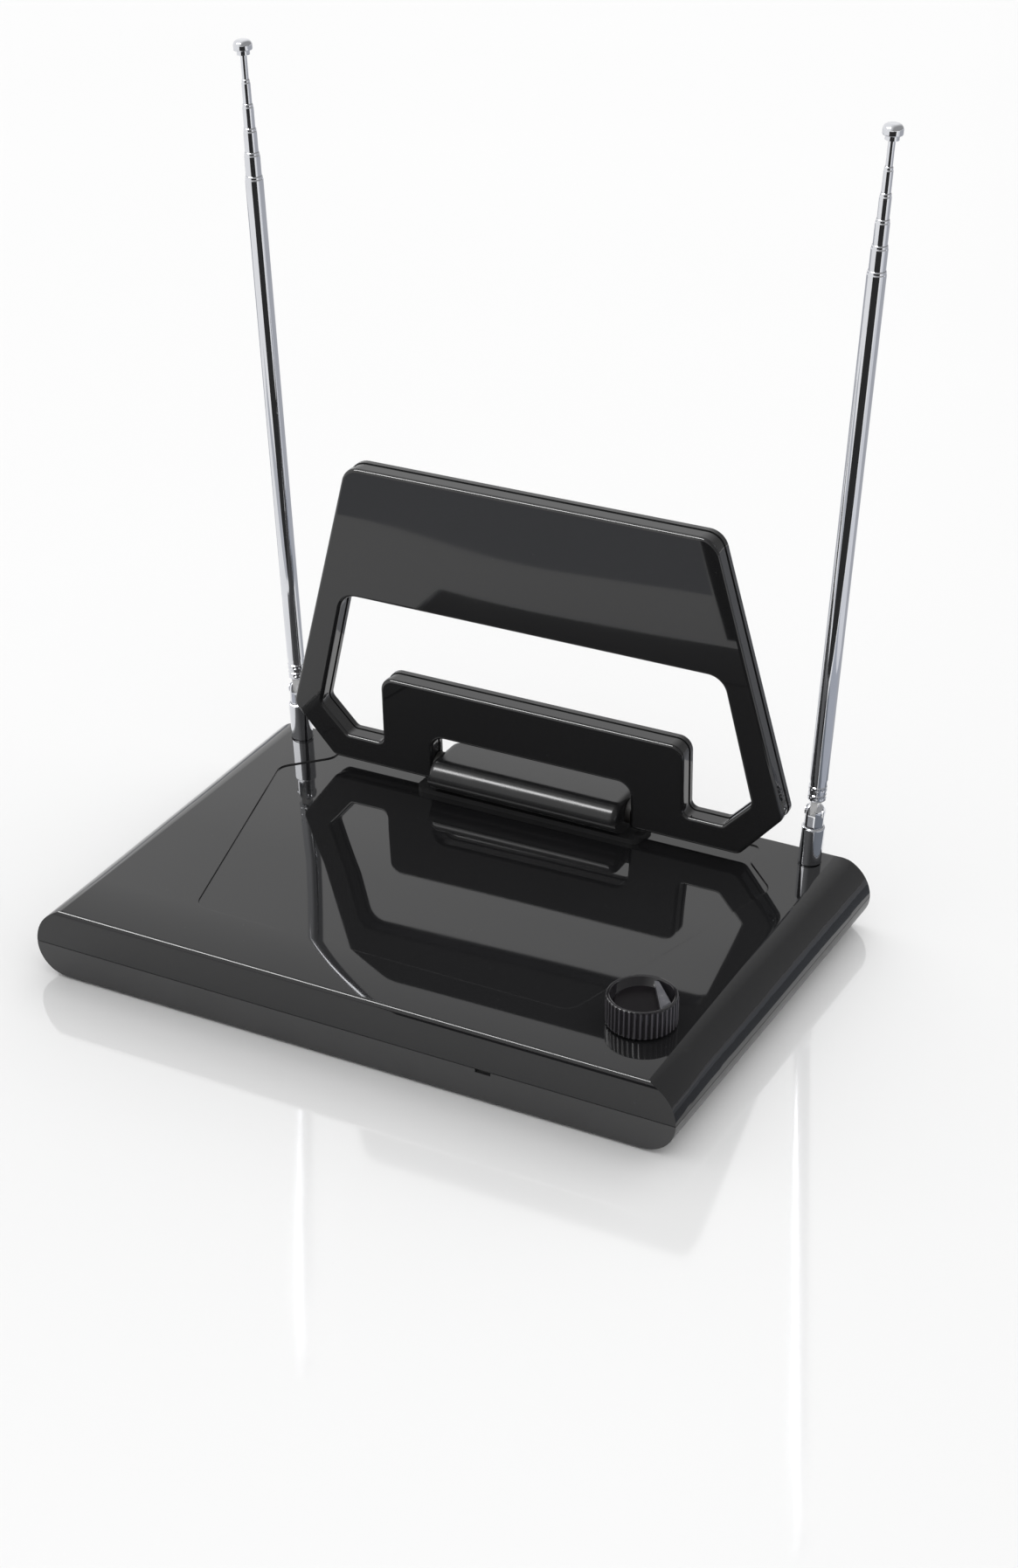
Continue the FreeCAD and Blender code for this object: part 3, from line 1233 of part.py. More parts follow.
def tip_cap(name, side):
    """Button on the end of the rod: a narrow neck under a wide, domed head."""
    bore = f"{outer_radius(SECTION_COUNT)} + press_gap"
    top = f"{TIP_BOTTOM} + tip_cap_height"
    shoulder = f"{TIP_BOTTOM} + tip_cap_neck_height"
    rim = "tip_cap_diameter / 2"
    turned(f"{name}_tip_cap", side, [
        (bore, TIP_BOTTOM),
        ("tip_cap_neck / 2", TIP_BOTTOM),
        ("tip_cap_neck / 2", shoulder),
        (rim, shoulder, "tip_cap_rim / 4"),
        (rim, top, "tip_cap_height - tip_cap_neck_height - tip_cap_rim"),
        ("0", top),
        ("0", f"{TIP_BOTTOM} + tip_cap_bore_depth + press_gap"),
        (bore, f"{TIP_BOTTOM} + tip_cap_bore_depth + press_gap"),
    ])


def telescopic_rod(name, side):
    collar(name, side)
    fork(name, side)
    swivel_nut(name, side)
    rivet(name, side)
    tang(name, side)
    tube(name, side, 1)
    for section in range(2, SECTION_COUNT):
        tube(name, side, section)
        bush(name, side, section)
    tip_rod(name, side)
    tip_cap(name, side)


base_bottom_cover()
base_top_cover()
rubber_feet()
base_screws()
ballast_plate()
lead_grommet()
circuit_board()
tuning_control()
control_nut()
control_shaft()
tuning_knob()
hinge_bracket()
hinge_cap()
hinge_pin()
hinge_washers()
loop_cover("loop_front_cover", 1)
loop_cover("loop_rear_cover", -1)
loop_conductor()
loop_screws()
telescopic_rod("left", -1)
telescopic_rod("right", 1)
doc.recompute()

# Every object has to be sound before anything is written.
faults = []
for thing in doc.Objects:
    if "Invalid" in thing.State or "Error" in thing.State:
        faults.append(f"{thing.Label}: {thing.State}")
for piece in sub_parts:
    if piece.Shape.isNull() or not piece.Shape.isValid() or not piece.Shape.Solids:
        faults.append(f"{piece.Label}: no valid solid")
if faults:
    raise RuntimeError("\n".join(faults))

os.makedirs("parts", exist_ok=True)
for piece in sub_parts:
    piece.Shape.exportStep(f"parts/{piece.Label}.step")
print(f"{len(sub_parts)} sub-parts written")
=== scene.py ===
import json
import math

import bmesh
import bpy
from mathutils import Matrix, Vector


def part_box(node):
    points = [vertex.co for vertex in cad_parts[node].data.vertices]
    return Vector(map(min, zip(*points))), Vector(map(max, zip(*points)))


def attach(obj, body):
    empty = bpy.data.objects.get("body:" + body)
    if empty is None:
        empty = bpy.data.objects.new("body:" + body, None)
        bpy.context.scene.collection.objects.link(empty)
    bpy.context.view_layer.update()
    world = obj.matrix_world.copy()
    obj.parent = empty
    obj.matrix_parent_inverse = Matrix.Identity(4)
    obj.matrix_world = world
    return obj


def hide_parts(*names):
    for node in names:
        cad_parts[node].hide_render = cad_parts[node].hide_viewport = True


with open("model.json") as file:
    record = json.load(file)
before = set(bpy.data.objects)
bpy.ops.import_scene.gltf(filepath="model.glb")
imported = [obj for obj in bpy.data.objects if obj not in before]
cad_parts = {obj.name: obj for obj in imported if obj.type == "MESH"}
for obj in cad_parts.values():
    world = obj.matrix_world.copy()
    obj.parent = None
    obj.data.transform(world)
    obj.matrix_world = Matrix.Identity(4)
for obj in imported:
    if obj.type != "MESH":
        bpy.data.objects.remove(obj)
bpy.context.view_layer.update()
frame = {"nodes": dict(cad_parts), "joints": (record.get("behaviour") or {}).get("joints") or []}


# Lower shell: an injection-moulded ABS tray with a fine spark-eroded texture.
# It carries the posts and the ballast, and four screws pull it up against the top cover.
def new_finish(name):
    """A node finish: its material, its shader and the piece's own coordinates."""
    finish = bpy.data.materials.new(name)
    finish.use_nodes = True
    nodes = finish.node_tree.nodes
    place = nodes.new("ShaderNodeTexCoord").outputs["Object"]
    return finish, nodes["Principled BSDF"], place


def feed(finish, source, socket):
    """Links one socket of a finish to another."""
    finish.node_tree.links.new(source, socket)


def grain(finish, place, scale, detail=2.0):
    """Soft irregular grain from 0 to 1."""
    noise = finish.node_tree.nodes.new("ShaderNodeTexNoise")
    noise.inputs["Scale"].default_value = scale
    noise.inputs["Detail"].default_value = detail
    feed(finish, place, noise.inputs["Vector"])
    return noise.outputs["Fac"]


def span(finish, source, between, onto):
    """A value carried from one range onto another and held at its ends."""
    ramp = finish.node_tree.nodes.new("ShaderNodeMapRange")
    ramp.inputs["From Min"].default_value = between[0]
    ramp.inputs["From Max"].default_value = between[1]
    ramp.inputs["To Min"].default_value = onto[0]
    ramp.inputs["To Max"].default_value = onto[1]
    feed(finish, source, ramp.inputs["Value"])
    return ramp.outputs["Result"]


def blended(finish, source, first, second):
    """Two colours blended by a value from 0 to 1."""
    mix = finish.node_tree.nodes.new("ShaderNodeMix")
    mix.data_type = "RGBA"
    feed(finish, source, mix.inputs["Factor"])
    _, _, _, _, _, _, first_socket, second_socket, *_ = mix.inputs
    for socket, colour in ((first_socket, first), (second_socket, second)):
        if isinstance(colour, tuple):
            socket.default_value = (*colour, 1.0)
        else:
            feed(finish, colour, socket)
    _, _, blend, *_ = mix.outputs
    return blend


GRAIN_SPREAD = (0.3, 0.7)


def mottled(finish, shader, source, colours, roughness):
    """Colour and gloss that both follow one grain."""
    feed(finish, blended(finish, source, *colours), shader.inputs["Base Color"])
    feed(finish, span(finish, source, GRAIN_SPREAD, roughness), shader.inputs["Roughness"])


def relief(finish, shader, height, distance):
    """Raises the surface by a height times a distance in metres."""
    bump = finish.node_tree.nodes.new("ShaderNodeBump")
    bump.inputs["Distance"].default_value = distance
    bump.inputs["Strength"].default_value = 1.0
    feed(finish, height, bump.inputs["Height"])
    feed(finish, bump.outputs["Normal"], shader.inputs["Normal"])


def dress(names, finish):
    """Gives modelled pieces their finish."""
    for name in names:
        slots = frame["nodes"][name].data.materials
        slots.clear()
        slots.append(finish)


PLASTIC_IOR = 1.5
shell_black, shell_shader, shell_place = new_finish("textured_shell_black")
shell_shader.inputs["IOR"].default_value = PLASTIC_IOR
mottled(shell_black, shell_shader, grain(shell_black, shell_place, 55.0, 4.0),
        ((0.034, 0.034, 0.035), (0.046, 0.046, 0.047)), (0.30, 0.40))
relief(shell_black, shell_shader, grain(shell_black, shell_place, 2600.0, 3.0), 0.000012)
dress(["base_bottom_cover"], shell_black)


# Ballast, board, control and nut inside the base: a zinc-plated steel plate on the floor, and a copper-clad
# board soldered to a pressed-aluminium rotary control that a brass nut holds. None of them shows outside.
plate_steel, plate_shader, plate_place = new_finish("zinc_plated_steel")
plate_shader.inputs["Metallic"].default_value = 1.0
mottled(plate_steel, plate_shader, grain(plate_steel, plate_place, 140.0, 3.0),
        ((0.42, 0.43, 0.45), (0.62, 0.63, 0.64)), (0.28, 0.45))
relief(plate_steel, plate_shader, grain(plate_steel, plate_place, 900.0), 0.000008)
dress(["ballast_plate"], plate_steel)

board_green, board_shader, board_place = new_finish("copper_clad_board")
board_cells = board_green.node_tree.nodes.new("ShaderNodeTexVoronoi")
board_cells.inputs["Scale"].default_value = 160.0
feed(board_green, board_place, board_cells.inputs["Vector"])
board_tracks = span(board_green, board_cells.outputs["Distance"], (0.35, 0.2), (0.0, 1.0))
mottled(board_green, board_shader, board_tracks, ((0.015, 0.09, 0.035), (0.05, 0.19, 0.08)), (0.4, 0.3))
relief(board_green, board_shader, board_tracks, 0.00003)
dress(["circuit_board"], board_green)


def stretched(finish, place, scale, turn=(0.0, 0.0, 0.0)):
    """The same coordinates, turned and then stretched."""
    mapping = finish.node_tree.nodes.new("ShaderNodeMapping")
    mapping.inputs["Rotation"].default_value = turn
    mapping.inputs["Scale"].default_value = scale
    feed(finish, place, mapping.inputs["Vector"])
    return mapping.outputs["Vector"]


def turned_metal(name, colours, roughness):
    """Bare metal with the fine rings of a lathe."""
    finish, shader, place = new_finish(name)
    shader.inputs["Metallic"].default_value = 1.0
    rings = grain(finish, stretched(finish, place, (1.0, 1.0, 18.0)), 260.0)
    mottled(finish, shader, rings, colours, roughness)
    return finish


can_aluminium = turned_metal("pressed_aluminium", ((0.55, 0.56, 0.57), (0.74, 0.75, 0.76)), (0.25, 0.4))
turned_brass = turned_metal("turned_brass", ((0.50, 0.33, 0.11), (0.70, 0.50, 0.20)), (0.2, 0.35))
dress(["tuning_control"], can_aluminium)
dress(["control_nut"], turned_brass)


# Feet and lead inlet: moulded rubber. The four feet are round pads with a moulded ring underneath, glued
# into shallow pockets of the lower shell, and the inlet is snapped into the rear wall.
pad_rubber, rubber_shader, rubber_place = new_finish("matt_black_rubber")
mottled(pad_rubber, rubber_shader, grain(pad_rubber, rubber_place, 180.0, 5.0),
        ((0.012, 0.012, 0.012), (0.032, 0.031, 0.030)), (0.62, 0.80))
relief(pad_rubber, rubber_shader, grain(pad_rubber, rubber_place, 1500.0), 0.00002)
dress(["lead_grommet"], pad_rubber)


def worked(tree, operation, *terms):
    """One sum of a node tree, on numbers or sockets."""
    node = tree.nodes.new("ShaderNodeMath")
    node.operation = operation
    for socket, term in zip(node.inputs, terms):
        if isinstance(term, (int, float)):
            socket.default_value = term
        else:
            tree.links.new(term, socket)
    return node.outputs["Value"]


def started_tree(name, inputs):
    """An empty shape tree and its named inputs."""
    tree = bpy.data.node_groups.new(name, "GeometryNodeTree")
    tree.interface.new_socket("Geometry", in_out="INPUT", socket_type="NodeSocketGeometry")
    for label, kind in inputs.items():
        tree.interface.new_socket(label, in_out="INPUT", socket_type=f"NodeSocket{kind}")
    tree.interface.new_socket("Geometry", in_out="OUTPUT", socket_type="NodeSocketGeometry")
    return tree, tree.nodes.new("NodeGroupInput").outputs


def ended_tree(tree, geometry, material):
    """Makes copies real and gives them their finish."""
    real = tree.nodes.new("GeometryNodeRealizeInstances")
    tree.links.new(geometry, real.inputs["Geometry"])
    coat = tree.nodes.new("GeometryNodeSetMaterial")
    tree.links.new(real.outputs["Geometry"], coat.inputs["Geometry"])
    tree.links.new(material, coat.inputs["Material"])
    tree.links.new(coat.outputs["Geometry"], tree.nodes.new("NodeGroupOutput").inputs["Geometry"])
    return tree


MERGE_DISTANCE = 1e-6


def spinning_tree():
    """Spins a row of points (out, share of the lobes, up) about Z. Lobes press points in or down."""
    tree, given = started_tree("spun_profile", {
        "Segments": "Int", "Lobes": "Int", "Sharpness": "Float",
        "Lobe In": "Float", "Lobe Down": "Float", "Material": "Material",
    })
    size = tree.nodes.new("GeometryNodeAttributeDomainSize")
    tree.links.new(given["Geometry"], size.inputs["Geometry"])
    rows = size.outputs["Point Count"]
    sheet = tree.nodes.new("GeometryNodeMeshGrid")
    tree.links.new(worked(tree, "ADD", given["Segments"], 1.0), sheet.inputs["Vertices X"])
    tree.links.new(rows, sheet.inputs["Vertices Y"])
    index = tree.nodes.new("GeometryNodeInputIndex").outputs["Index"]
    column = worked(tree, "FLOOR", worked(tree, "DIVIDE", index, rows))
    row = tree.nodes.new("GeometryNodeSampleIndex")
    row.data_type = "FLOAT_VECTOR"
    tree.links.new(given["Geometry"], row.inputs["Geometry"])
    position = tree.nodes.new("GeometryNodeInputPosition").outputs["Position"]
    row_value = next(socket for socket in row.inputs if socket.name == "Value" and socket.enabled)
    tree.links.new(position, row_value)
    tree.links.new(worked(tree, "MODULO", index, rows), row.inputs["Index"])
    point = tree.nodes.new("ShaderNodeSeparateXYZ")
    tree.links.new(next(socket for socket in row.outputs if socket.enabled), point.inputs["Vector"])
    turn = worked(tree, "DIVIDE", worked(tree, "MULTIPLY", column, math.tau), given["Segments"])
    wave = worked(tree, "COSINE", worked(tree, "MULTIPLY", turn, given["Lobes"]))
    lobe = worked(tree, "POWER", worked(tree, "MULTIPLY_ADD", wave, 0.5, 0.5), given["Sharpness"])
    lobe = worked(tree, "MULTIPLY", lobe, point.outputs["Y"])
    out = worked(tree, "SUBTRACT", point.outputs["X"], worked(tree, "MULTIPLY", lobe, given["Lobe In"]))
    up = worked(tree, "SUBTRACT", point.outputs["Z"], worked(tree, "MULTIPLY", lobe, given["Lobe Down"]))
    place = tree.nodes.new("ShaderNodeCombineXYZ")
    tree.links.new(worked(tree, "MULTIPLY", out, worked(tree, "COSINE", turn)), place.inputs["X"])
    tree.links.new(worked(tree, "MULTIPLY", out, worked(tree, "SINE", turn)), place.inputs["Y"])
    tree.links.new(up, place.inputs["Z"])
    moved = tree.nodes.new("GeometryNodeSetPosition")
    tree.links.new(sheet.outputs["Mesh"], moved.inputs["Geometry"])
    tree.links.new(place.outputs["Vector"], moved.inputs["Position"])
    closed = tree.nodes.new("GeometryNodeMergeByDistance")
    closed.inputs["Distance"].default_value = MERGE_DISTANCE
    tree.links.new(moved.outputs["Geometry"], closed.inputs["Geometry"])
    return ended_tree(tree, closed.outputs["Geometry"], given["Material"])


def setting_out_tree():
    """Puts a copy of one piece at each point."""
    tree, given = started_tree("set_out", {"Piece": "Object", "Material": "Material"})
    piece = tree.nodes.new("GeometryNodeObjectInfo")
    tree.links.new(given["Piece"], piece.inputs["Object"])
    placed = tree.nodes.new("GeometryNodeInstanceOnPoints")
    tree.links.new(given["Geometry"], placed.inputs["Points"])
    tree.links.new(piece.outputs["Geometry"], placed.inputs["Instance"])
    return ended_tree(tree, placed.outputs["Instances"], given["Material"])


SHARP_EDGE = math.radians(38.0)


def shaped(name, points, tree, place=None, **settings):
    """Runs a tree on a row of points and keeps what it makes as a plain mesh."""
    row = bpy.data.meshes.new(f"{name}_points")
    row.from_pydata(points, [], [])
    piece = bpy.data.objects.new(name, row)
    bpy.context.scene.collection.objects.link(piece)
    modifier = piece.modifiers.new("shape", "NODES")
    modifier.node_group = tree
    for socket in tree.interface.items_tree:
        label = socket.name.lower().replace(" ", "_")
        if socket.in_out == "INPUT" and label in settings:
            modifier[socket.identifier] = settings[label]
    bpy.context.view_layer.update()
    whole = piece.evaluated_get(bpy.context.evaluated_depsgraph_get())
    mesh = bpy.data.meshes.new_from_object(whole)
    piece.modifiers.remove(modifier)
    piece.data = mesh
    bpy.data.meshes.remove(row)
    mesh.name = name
    if place is not None:
        mesh.transform(place)
    outward = bmesh.new()
    outward.from_mesh(mesh)
    bmesh.ops.recalc_face_normals(outward, faces=outward.faces)
    outward.to_mesh(mesh)
    outward.free()
    mesh.shade_smooth()
    mesh.set_sharp_from_angle(angle=SHARP_EDGE)
    return piece


def fitted(piece, body, slot, *nodes):
    """Puts a finished piece on its body in place of what it stands for."""
    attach(piece, body)
    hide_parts(*nodes)


def four_middles(node, across):
    """The middles of four like solids in the corners of X and a second axis, and the last one's points."""
    low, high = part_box(node)
    middle = (low + high) / 2.0
    corners = [vertex.co for vertex in frame["nodes"][node].data.vertices]
    middles = []
    for right in (False, True):
        for far in (False, True):
            own = [c for c in corners if (c.x > middle.x) == right and (c[across] > middle[across]) == far]
            ends = [(min(c[axis] for c in own), max(c[axis] for c in own)) for axis in range(3)]
            middles.append(Vector([(first + last) / 2.0 for first, last in ends]))
    return middles, own


def set_out(name, pattern, middles, finish):
    """Copies a pattern piece to each place and drops the pattern."""
    piece = shaped(name, middles, copies, piece=pattern, material=finish)
    bpy.data.objects.remove(pattern)
    return piece


def plain_ring(*corners):
    """Profile rows without lobes."""
    return [(radius, 0.0, height) for radius, height in corners]


FOOT_EDGE = 0.0006
FOOT_SEGMENTS = 48
RING_DEPTH = 0.0005
spun = spinning_tree()
copies = setting_out_tree()
Y, Z = 1, 2
foot_middles, foot_points = four_middles("rubber_feet", Y)
foot_low, foot_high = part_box("rubber_feet")
foot_half = (foot_high.z - foot_low.z) / 2.0
foot_radius = (max(p.x for p in foot_points) - min(p.x for p in foot_points)) / 2.0
ring_outer = foot_radius * 0.62
ring_inner = foot_radius * 0.55
foot_profile = plain_ring(
    (0.0, foot_half), (foot_radius, foot_half), (foot_radius, FOOT_EDGE - foot_half),
    (foot_radius - FOOT_EDGE * 0.3, FOOT_EDGE * 0.3 - foot_half), (foot_radius - FOOT_EDGE, -foot_half),
    (ring_outer, -foot_half), (ring_inner, RING_DEPTH - foot_half), (0.0, RING_DEPTH - foot_half),
)
foot = shaped("foot_pattern", foot_profile, spun, segments=FOOT_SEGMENTS, lobes=0, material=pad_rubber)
feet = set_out("moulded_feet", foot, foot_middles, pad_rubber)
fitted(feet, "base", "rubber", "rubber_feet")


# Top cover: the polished, piano-black moulding with the shallow recess that the folded loop lies over,
# pressed over the lip of the lower shell. Relief in its finish crowns the top very slightly and rolls it off
# to the front.
def polished(name):
    """Polished black plastic with depth in its colour and a little dust."""
    finish, shader, place = new_finish(name)
    shader.inputs["IOR"].default_value = PLASTIC_IOR
    depth = grain(finish, place, 18.0, 3.0)
    dust = finish.node_tree.nodes.new("ShaderNodeTexVoronoi")
    dust.inputs["Scale"].default_value = 150.0
    feed(finish, place, dust.inputs["Vector"])
    on_speck = span(finish, dust.outputs["Distance"], (0.03, 0.02), (0.0, 1.0))
    ground = blended(finish, depth, (0.010, 0.010, 0.0105), (0.014, 0.014, 0.015))
    feed(finish, blended(finish, on_speck, ground, (0.05, 0.05, 0.05)), shader.inputs["Base Color"])
    feed(finish, span(finish, depth, GRAIN_SPREAD, (0.02, 0.05)), shader.inputs["Roughness"])
    return finish, shader, place


CROWN_MIDDLE = 0.020
CROWN_RADIUS = 2.2
FALL_START = 0.022
FALL_LENGTH = 0.030
FALL_SLOPE = 0.026
ROLL_START = -0.0529
ROLL_RADIUS = 0.18
MOULD_WAVE = 0.0003
top_black, top_shader, top_place = polished("polished_top_black")
top_tree = top_black.node_tree
top_at = top_tree.nodes.new("ShaderNodeSeparateXYZ")
feed(top_black, top_place, top_at.inputs["Vector"])
aside = worked(top_tree, "SUBTRACT", top_at.outputs["X"], CROWN_MIDDLE)
crown = worked(top_tree, "DIVIDE", worked(top_tree, "MULTIPLY", aside, aside), 2.0 * CROWN_RADIUS)
ahead = worked(top_tree, "SUBTRACT", FALL_START, top_at.outputs["Y"])
turning = worked(top_tree, "MINIMUM", worked(top_tree, "MAXIMUM", ahead, 0.0), FALL_LENGTH)
turned = worked(top_tree, "MULTIPLY", turning, turning)
fall = worked(top_tree, "MULTIPLY", turned, FALL_SLOPE / FALL_LENGTH / 2.0)
beyond = worked(top_tree, "MAXIMUM", worked(top_tree, "SUBTRACT", ahead, FALL_LENGTH), 0.0)
fall = worked(top_tree, "MULTIPLY_ADD", beyond, FALL_SLOPE, fall)
rolling = worked(top_tree, "MAXIMUM", worked(top_tree, "SUBTRACT", ROLL_START, top_at.outputs["Y"]), 0.0)
roll = worked(top_tree, "DIVIDE", worked(top_tree, "MULTIPLY", rolling, rolling), 2.0 * ROLL_RADIUS)
waves = worked(top_tree, "MULTIPLY", grain(top_black, top_place, 14.0, 0.0), MOULD_WAVE)
drop = worked(top_tree, "ADD", worked(top_tree, "ADD", crown, fall), roll)
relief(top_black, top_shader, worked(top_tree, "SUBTRACT", waves, drop), 1.0)
dress(["base_top_cover"], top_black)


# Base screws: cross-head steel screws, zinc plated, four of them sunk into the lower shell from below.
# Each cuts its own thread in a post of the top cover.
RECESS_SHARE = 0.6
CROSS_ARMS = 4
CROSS_SHARPNESS = 3.0
SCREW_SEGMENTS = 48


def screw_profile(head, head_height, shank, length):
    """Pan head, crossed recess and shank, from the middle of the head down its axis."""
    recess = head_height * RECESS_SHARE
    return [
        (0.0, 0.0, -recess), (head * 0.10, 0.0, -recess), (head * 0.34, 1.0, 0.0), (head * 0.56, 0.5, 0.0),
        (head * 0.62, 0.0, 0.0), (head * 0.86, 0.0, -head_height * 0.08), (head, 0.0, -head_height * 0.35),
        (head, 0.0, -head_height), (shank, 0.0, -head_height), (shank, 0.0, shank - length),
        (shank * 0.3, 0.0, -length), (0.0, 0.0, -length),
    ]


def screw_sizes(own, middle, axis):
    """Head radius, head height, shank radius and length of a screw whose head is along the axis."""
    rows = []
    for point in own:
        along = (point - middle).dot(axis)
        rows.append((along, (point - middle - axis * along).length))
    reach = max(along for along, _ in rows)
    head = max(radius for _, radius in rows)
    shank = max(radius for along, radius in rows if along < 0.0)
    neck = min(along for along, radius in rows if radius > (head + shank) / 2.0)
    return head, reach - neck, shank, 2.0 * reach


def standing(place, axis):
    """Turns a spun piece's Z onto an axis and moves it to its place."""
    return Matrix.Translation(place) @ Vector((0.0, 0.0, 1.0)).rotation_difference(axis).to_matrix().to_4x4()


def cross_head_screws(name, node, across, axis):
    """Four like screws, each with a crossed recess in its head, where the modelled ones are."""
    middles, own = four_middles(node, across)
    sizes = screw_sizes(own, middles[-1], axis)
    _, head_height, _, length = sizes
    pattern = shaped(f"{name}_pattern", screw_profile(*sizes), spun, standing(axis * length / 2.0, axis),
                     segments=SCREW_SEGMENTS, lobes=CROSS_ARMS, sharpness=CROSS_SHARPNESS,
                     lobe_down=head_height * RECESS_SHARE, material=plate_steel)
    return set_out(name, pattern, middles, plate_steel)


base_screws = cross_head_screws("cross_head_base_screws", "base_screws", Y, Vector((0.0, 0.0, -1.0)))
fitted(base_screws, "base", "steel", "base_screws")


# Hinge: a round-nosed block in two halves on the recess floor, satin black, with a steel pin through it.
# The upper half has rounded ends, and a dark fibre washer at each end holds the loop where it is set.
dress(["hinge_pin"], plate_steel)


def satin(name, *colours):
    """Satin black plastic between two tones."""
    finish, shader, place = new_finish(name)
    shader.inputs["IOR"].default_value = PLASTIC_IOR
    mottled(finish, shader, grain(finish, place, 120.0, 3.0), colours, (0.17, 0.25))
    return finish, shader, place


# The lower half is painted a lighter black than the upper half: a painted reflection, the grey band of
# reflected light under the nose.
lower_painted_sheen, _, _ = satin("hinge_lower_black", (0.018, 0.018, 0.0185), (0.026, 0.026, 0.027))
dress(["hinge_bracket"], lower_painted_sheen)

hinge_black, hinge_shader, hinge_place = satin("hinge_black", (0.010, 0.010, 0.0105), (0.017, 0.017, 0.018))
relief(hinge_black, hinge_shader, grain(hinge_black, hinge_place, 500.0), 0.0000015)
CAP_EDGE = 0.0022
CAP_CORNER = 0.0050
CAP_SUPPORT = 0.0003
CAP_STEPS = 10


def rounded_off(past_start, radius):
    """How far a rounding has fallen at a distance past its start."""
    run = min(max(past_start, 0.0), radius)
    return radius - math.sqrt(radius * radius - run * run)


def cap_section(aside, low, high):
    """Outline of the block's upper half at a distance from its middle: nose, flat top and rounded tail."""
    nose = high.z - low.z
    nose_middle = low.y + nose
    top = nose - rounded_off(aside - (high.x - CAP_EDGE), CAP_EDGE)
    tail = high.y - rounded_off(aside - (high.x - CAP_CORNER), CAP_CORNER)
    edge_y = tail - CAP_EDGE
    edge_z = low.z + top - CAP_EDGE
    quarter = [math.pi / 2.0 * step / CAP_STEPS for step in range(CAP_STEPS + 1)]
    outline = [(nose_middle - top * math.cos(turn), low.z + top * math.sin(turn)) for turn in quarter]
    outline.append((nose_middle + CAP_SUPPORT, low.z + top))
    outline.append((edge_y - CAP_SUPPORT, low.z + top))
    outline += [(edge_y + CAP_EDGE * math.sin(turn), edge_z + CAP_EDGE * math.cos(turn)) for turn in quarter]
    outline.append((tail, low.z))
    return outline


def skinned(rows):
    """A closed solid through rings that have as many corners each."""
    solid = bmesh.new()
    rings = [[solid.verts.new(corner) for corner in row] for row in rows]
    for near, far in zip(rings, rings[1:]):
        for first in range(len(near)):
            second = (first + 1) % len(near)
            solid.faces.new((near[first], near[second], far[second], far[first]))
    solid.faces.new(rings[0])
    solid.faces.new(rings[-1])
    return solid


def kept(name, solid, finish, place=None):
    """Keeps a solid as a plain piece with its finish."""
    bmesh.ops.recalc_face_normals(solid, faces=solid.faces)
    mesh = bpy.data.meshes.new(name)
    solid.to_mesh(mesh)
    solid.free()
    if place is not None:
        mesh.transform(place)
    mesh.materials.append(finish)
    mesh.shade_smooth()
    mesh.set_sharp_from_angle(angle=SHARP_EDGE)
    piece = bpy.data.objects.new(name, mesh)
    bpy.context.scene.collection.objects.link(piece)
    return piece


cap_low, cap_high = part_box("hinge_cap")
stations = [cap_high.x - CAP_CORNER - CAP_SUPPORT]
for step in range(CAP_STEPS + 1):
    stations.append(cap_high.x - CAP_CORNER * (1.0 - math.sin(math.pi / 2.0 * step / CAP_STEPS)))
stations = [-aside for aside in reversed(stations)] + stations
cap_rows = [[(x, *point) for point in cap_section(abs(x), cap_low, cap_high)] for x in stations]
hinge_cap = kept("round_ended_hinge_cap", skinned(cap_rows), hinge_black)
fitted(hinge_cap, "base", "hinge_black", "hinge_cap")

washer_fibre, fibre_shader, fibre_place = new_finish("dark_washer_fibre")
mottled(washer_fibre, fibre_shader, grain(washer_fibre, fibre_place, 900.0, 5.0),
        ((0.008, 0.007, 0.006), (0.020, 0.018, 0.016)), (0.55, 0.75))
dress(["hinge_washers"], washer_fibre)


# Loop: two polished mouldings that close round a copper wire, screwed together from behind.
# A narrow set-in band runs round the seam, and the broad faces are very slightly wavy.
LOOP_IOR = 1.6
LOOP_WAVE = 0.0009
loop_black, loop_shader, loop_place = polished("polished_loop_black")
loop_shader.inputs["IOR"].default_value = LOOP_IOR
relief(loop_black, loop_shader, grain(loop_black, loop_place, 11.0, 0.5), LOOP_WAVE)
dress(["loop_front_cover", "loop_rear_cover"], loop_black)

loop_copper, copper_shader, copper_place = new_finish("enamelled_copper")
copper_shader.inputs["Metallic"].default_value = 1.0
mottled(loop_copper, copper_shader, grain(loop_copper, copper_place, 260.0, 3.0),
        ((0.48, 0.19, 0.08), (0.66, 0.31, 0.16)), (0.2, 0.35))
dress(["loop_conductor"], loop_copper)

LOOP_LEAN = math.radians(2.6)
loop_rear = Vector((0.0, math.cos(LOOP_LEAN), math.sin(LOOP_LEAN)))
loop_screws = cross_head_screws("cross_head_loop_screws", "loop_screws", Z, loop_rear)
fitted(loop_screws, "loop", "steel", "loop_screws")


# Tuning knob: a smoky black moulding, fluted round its side and deeply dished, on the control's steel shaft.
# A dark disc is glued into the dish, and a paler frosted pointer stands in it against the rim.
dress(["control_shaft"], plate_steel)
knob_black, knob_shader, knob_place = new_finish("smoky_knob_black")
knob_shader.inputs["IOR"].default_value = PLASTIC_IOR
feed(knob_black, span(knob_black, grain(knob_black, knob_place, 200.0, 3.0), GRAIN_SPREAD, (0.05, 0.10)),
     knob_shader.inputs["Roughness"])

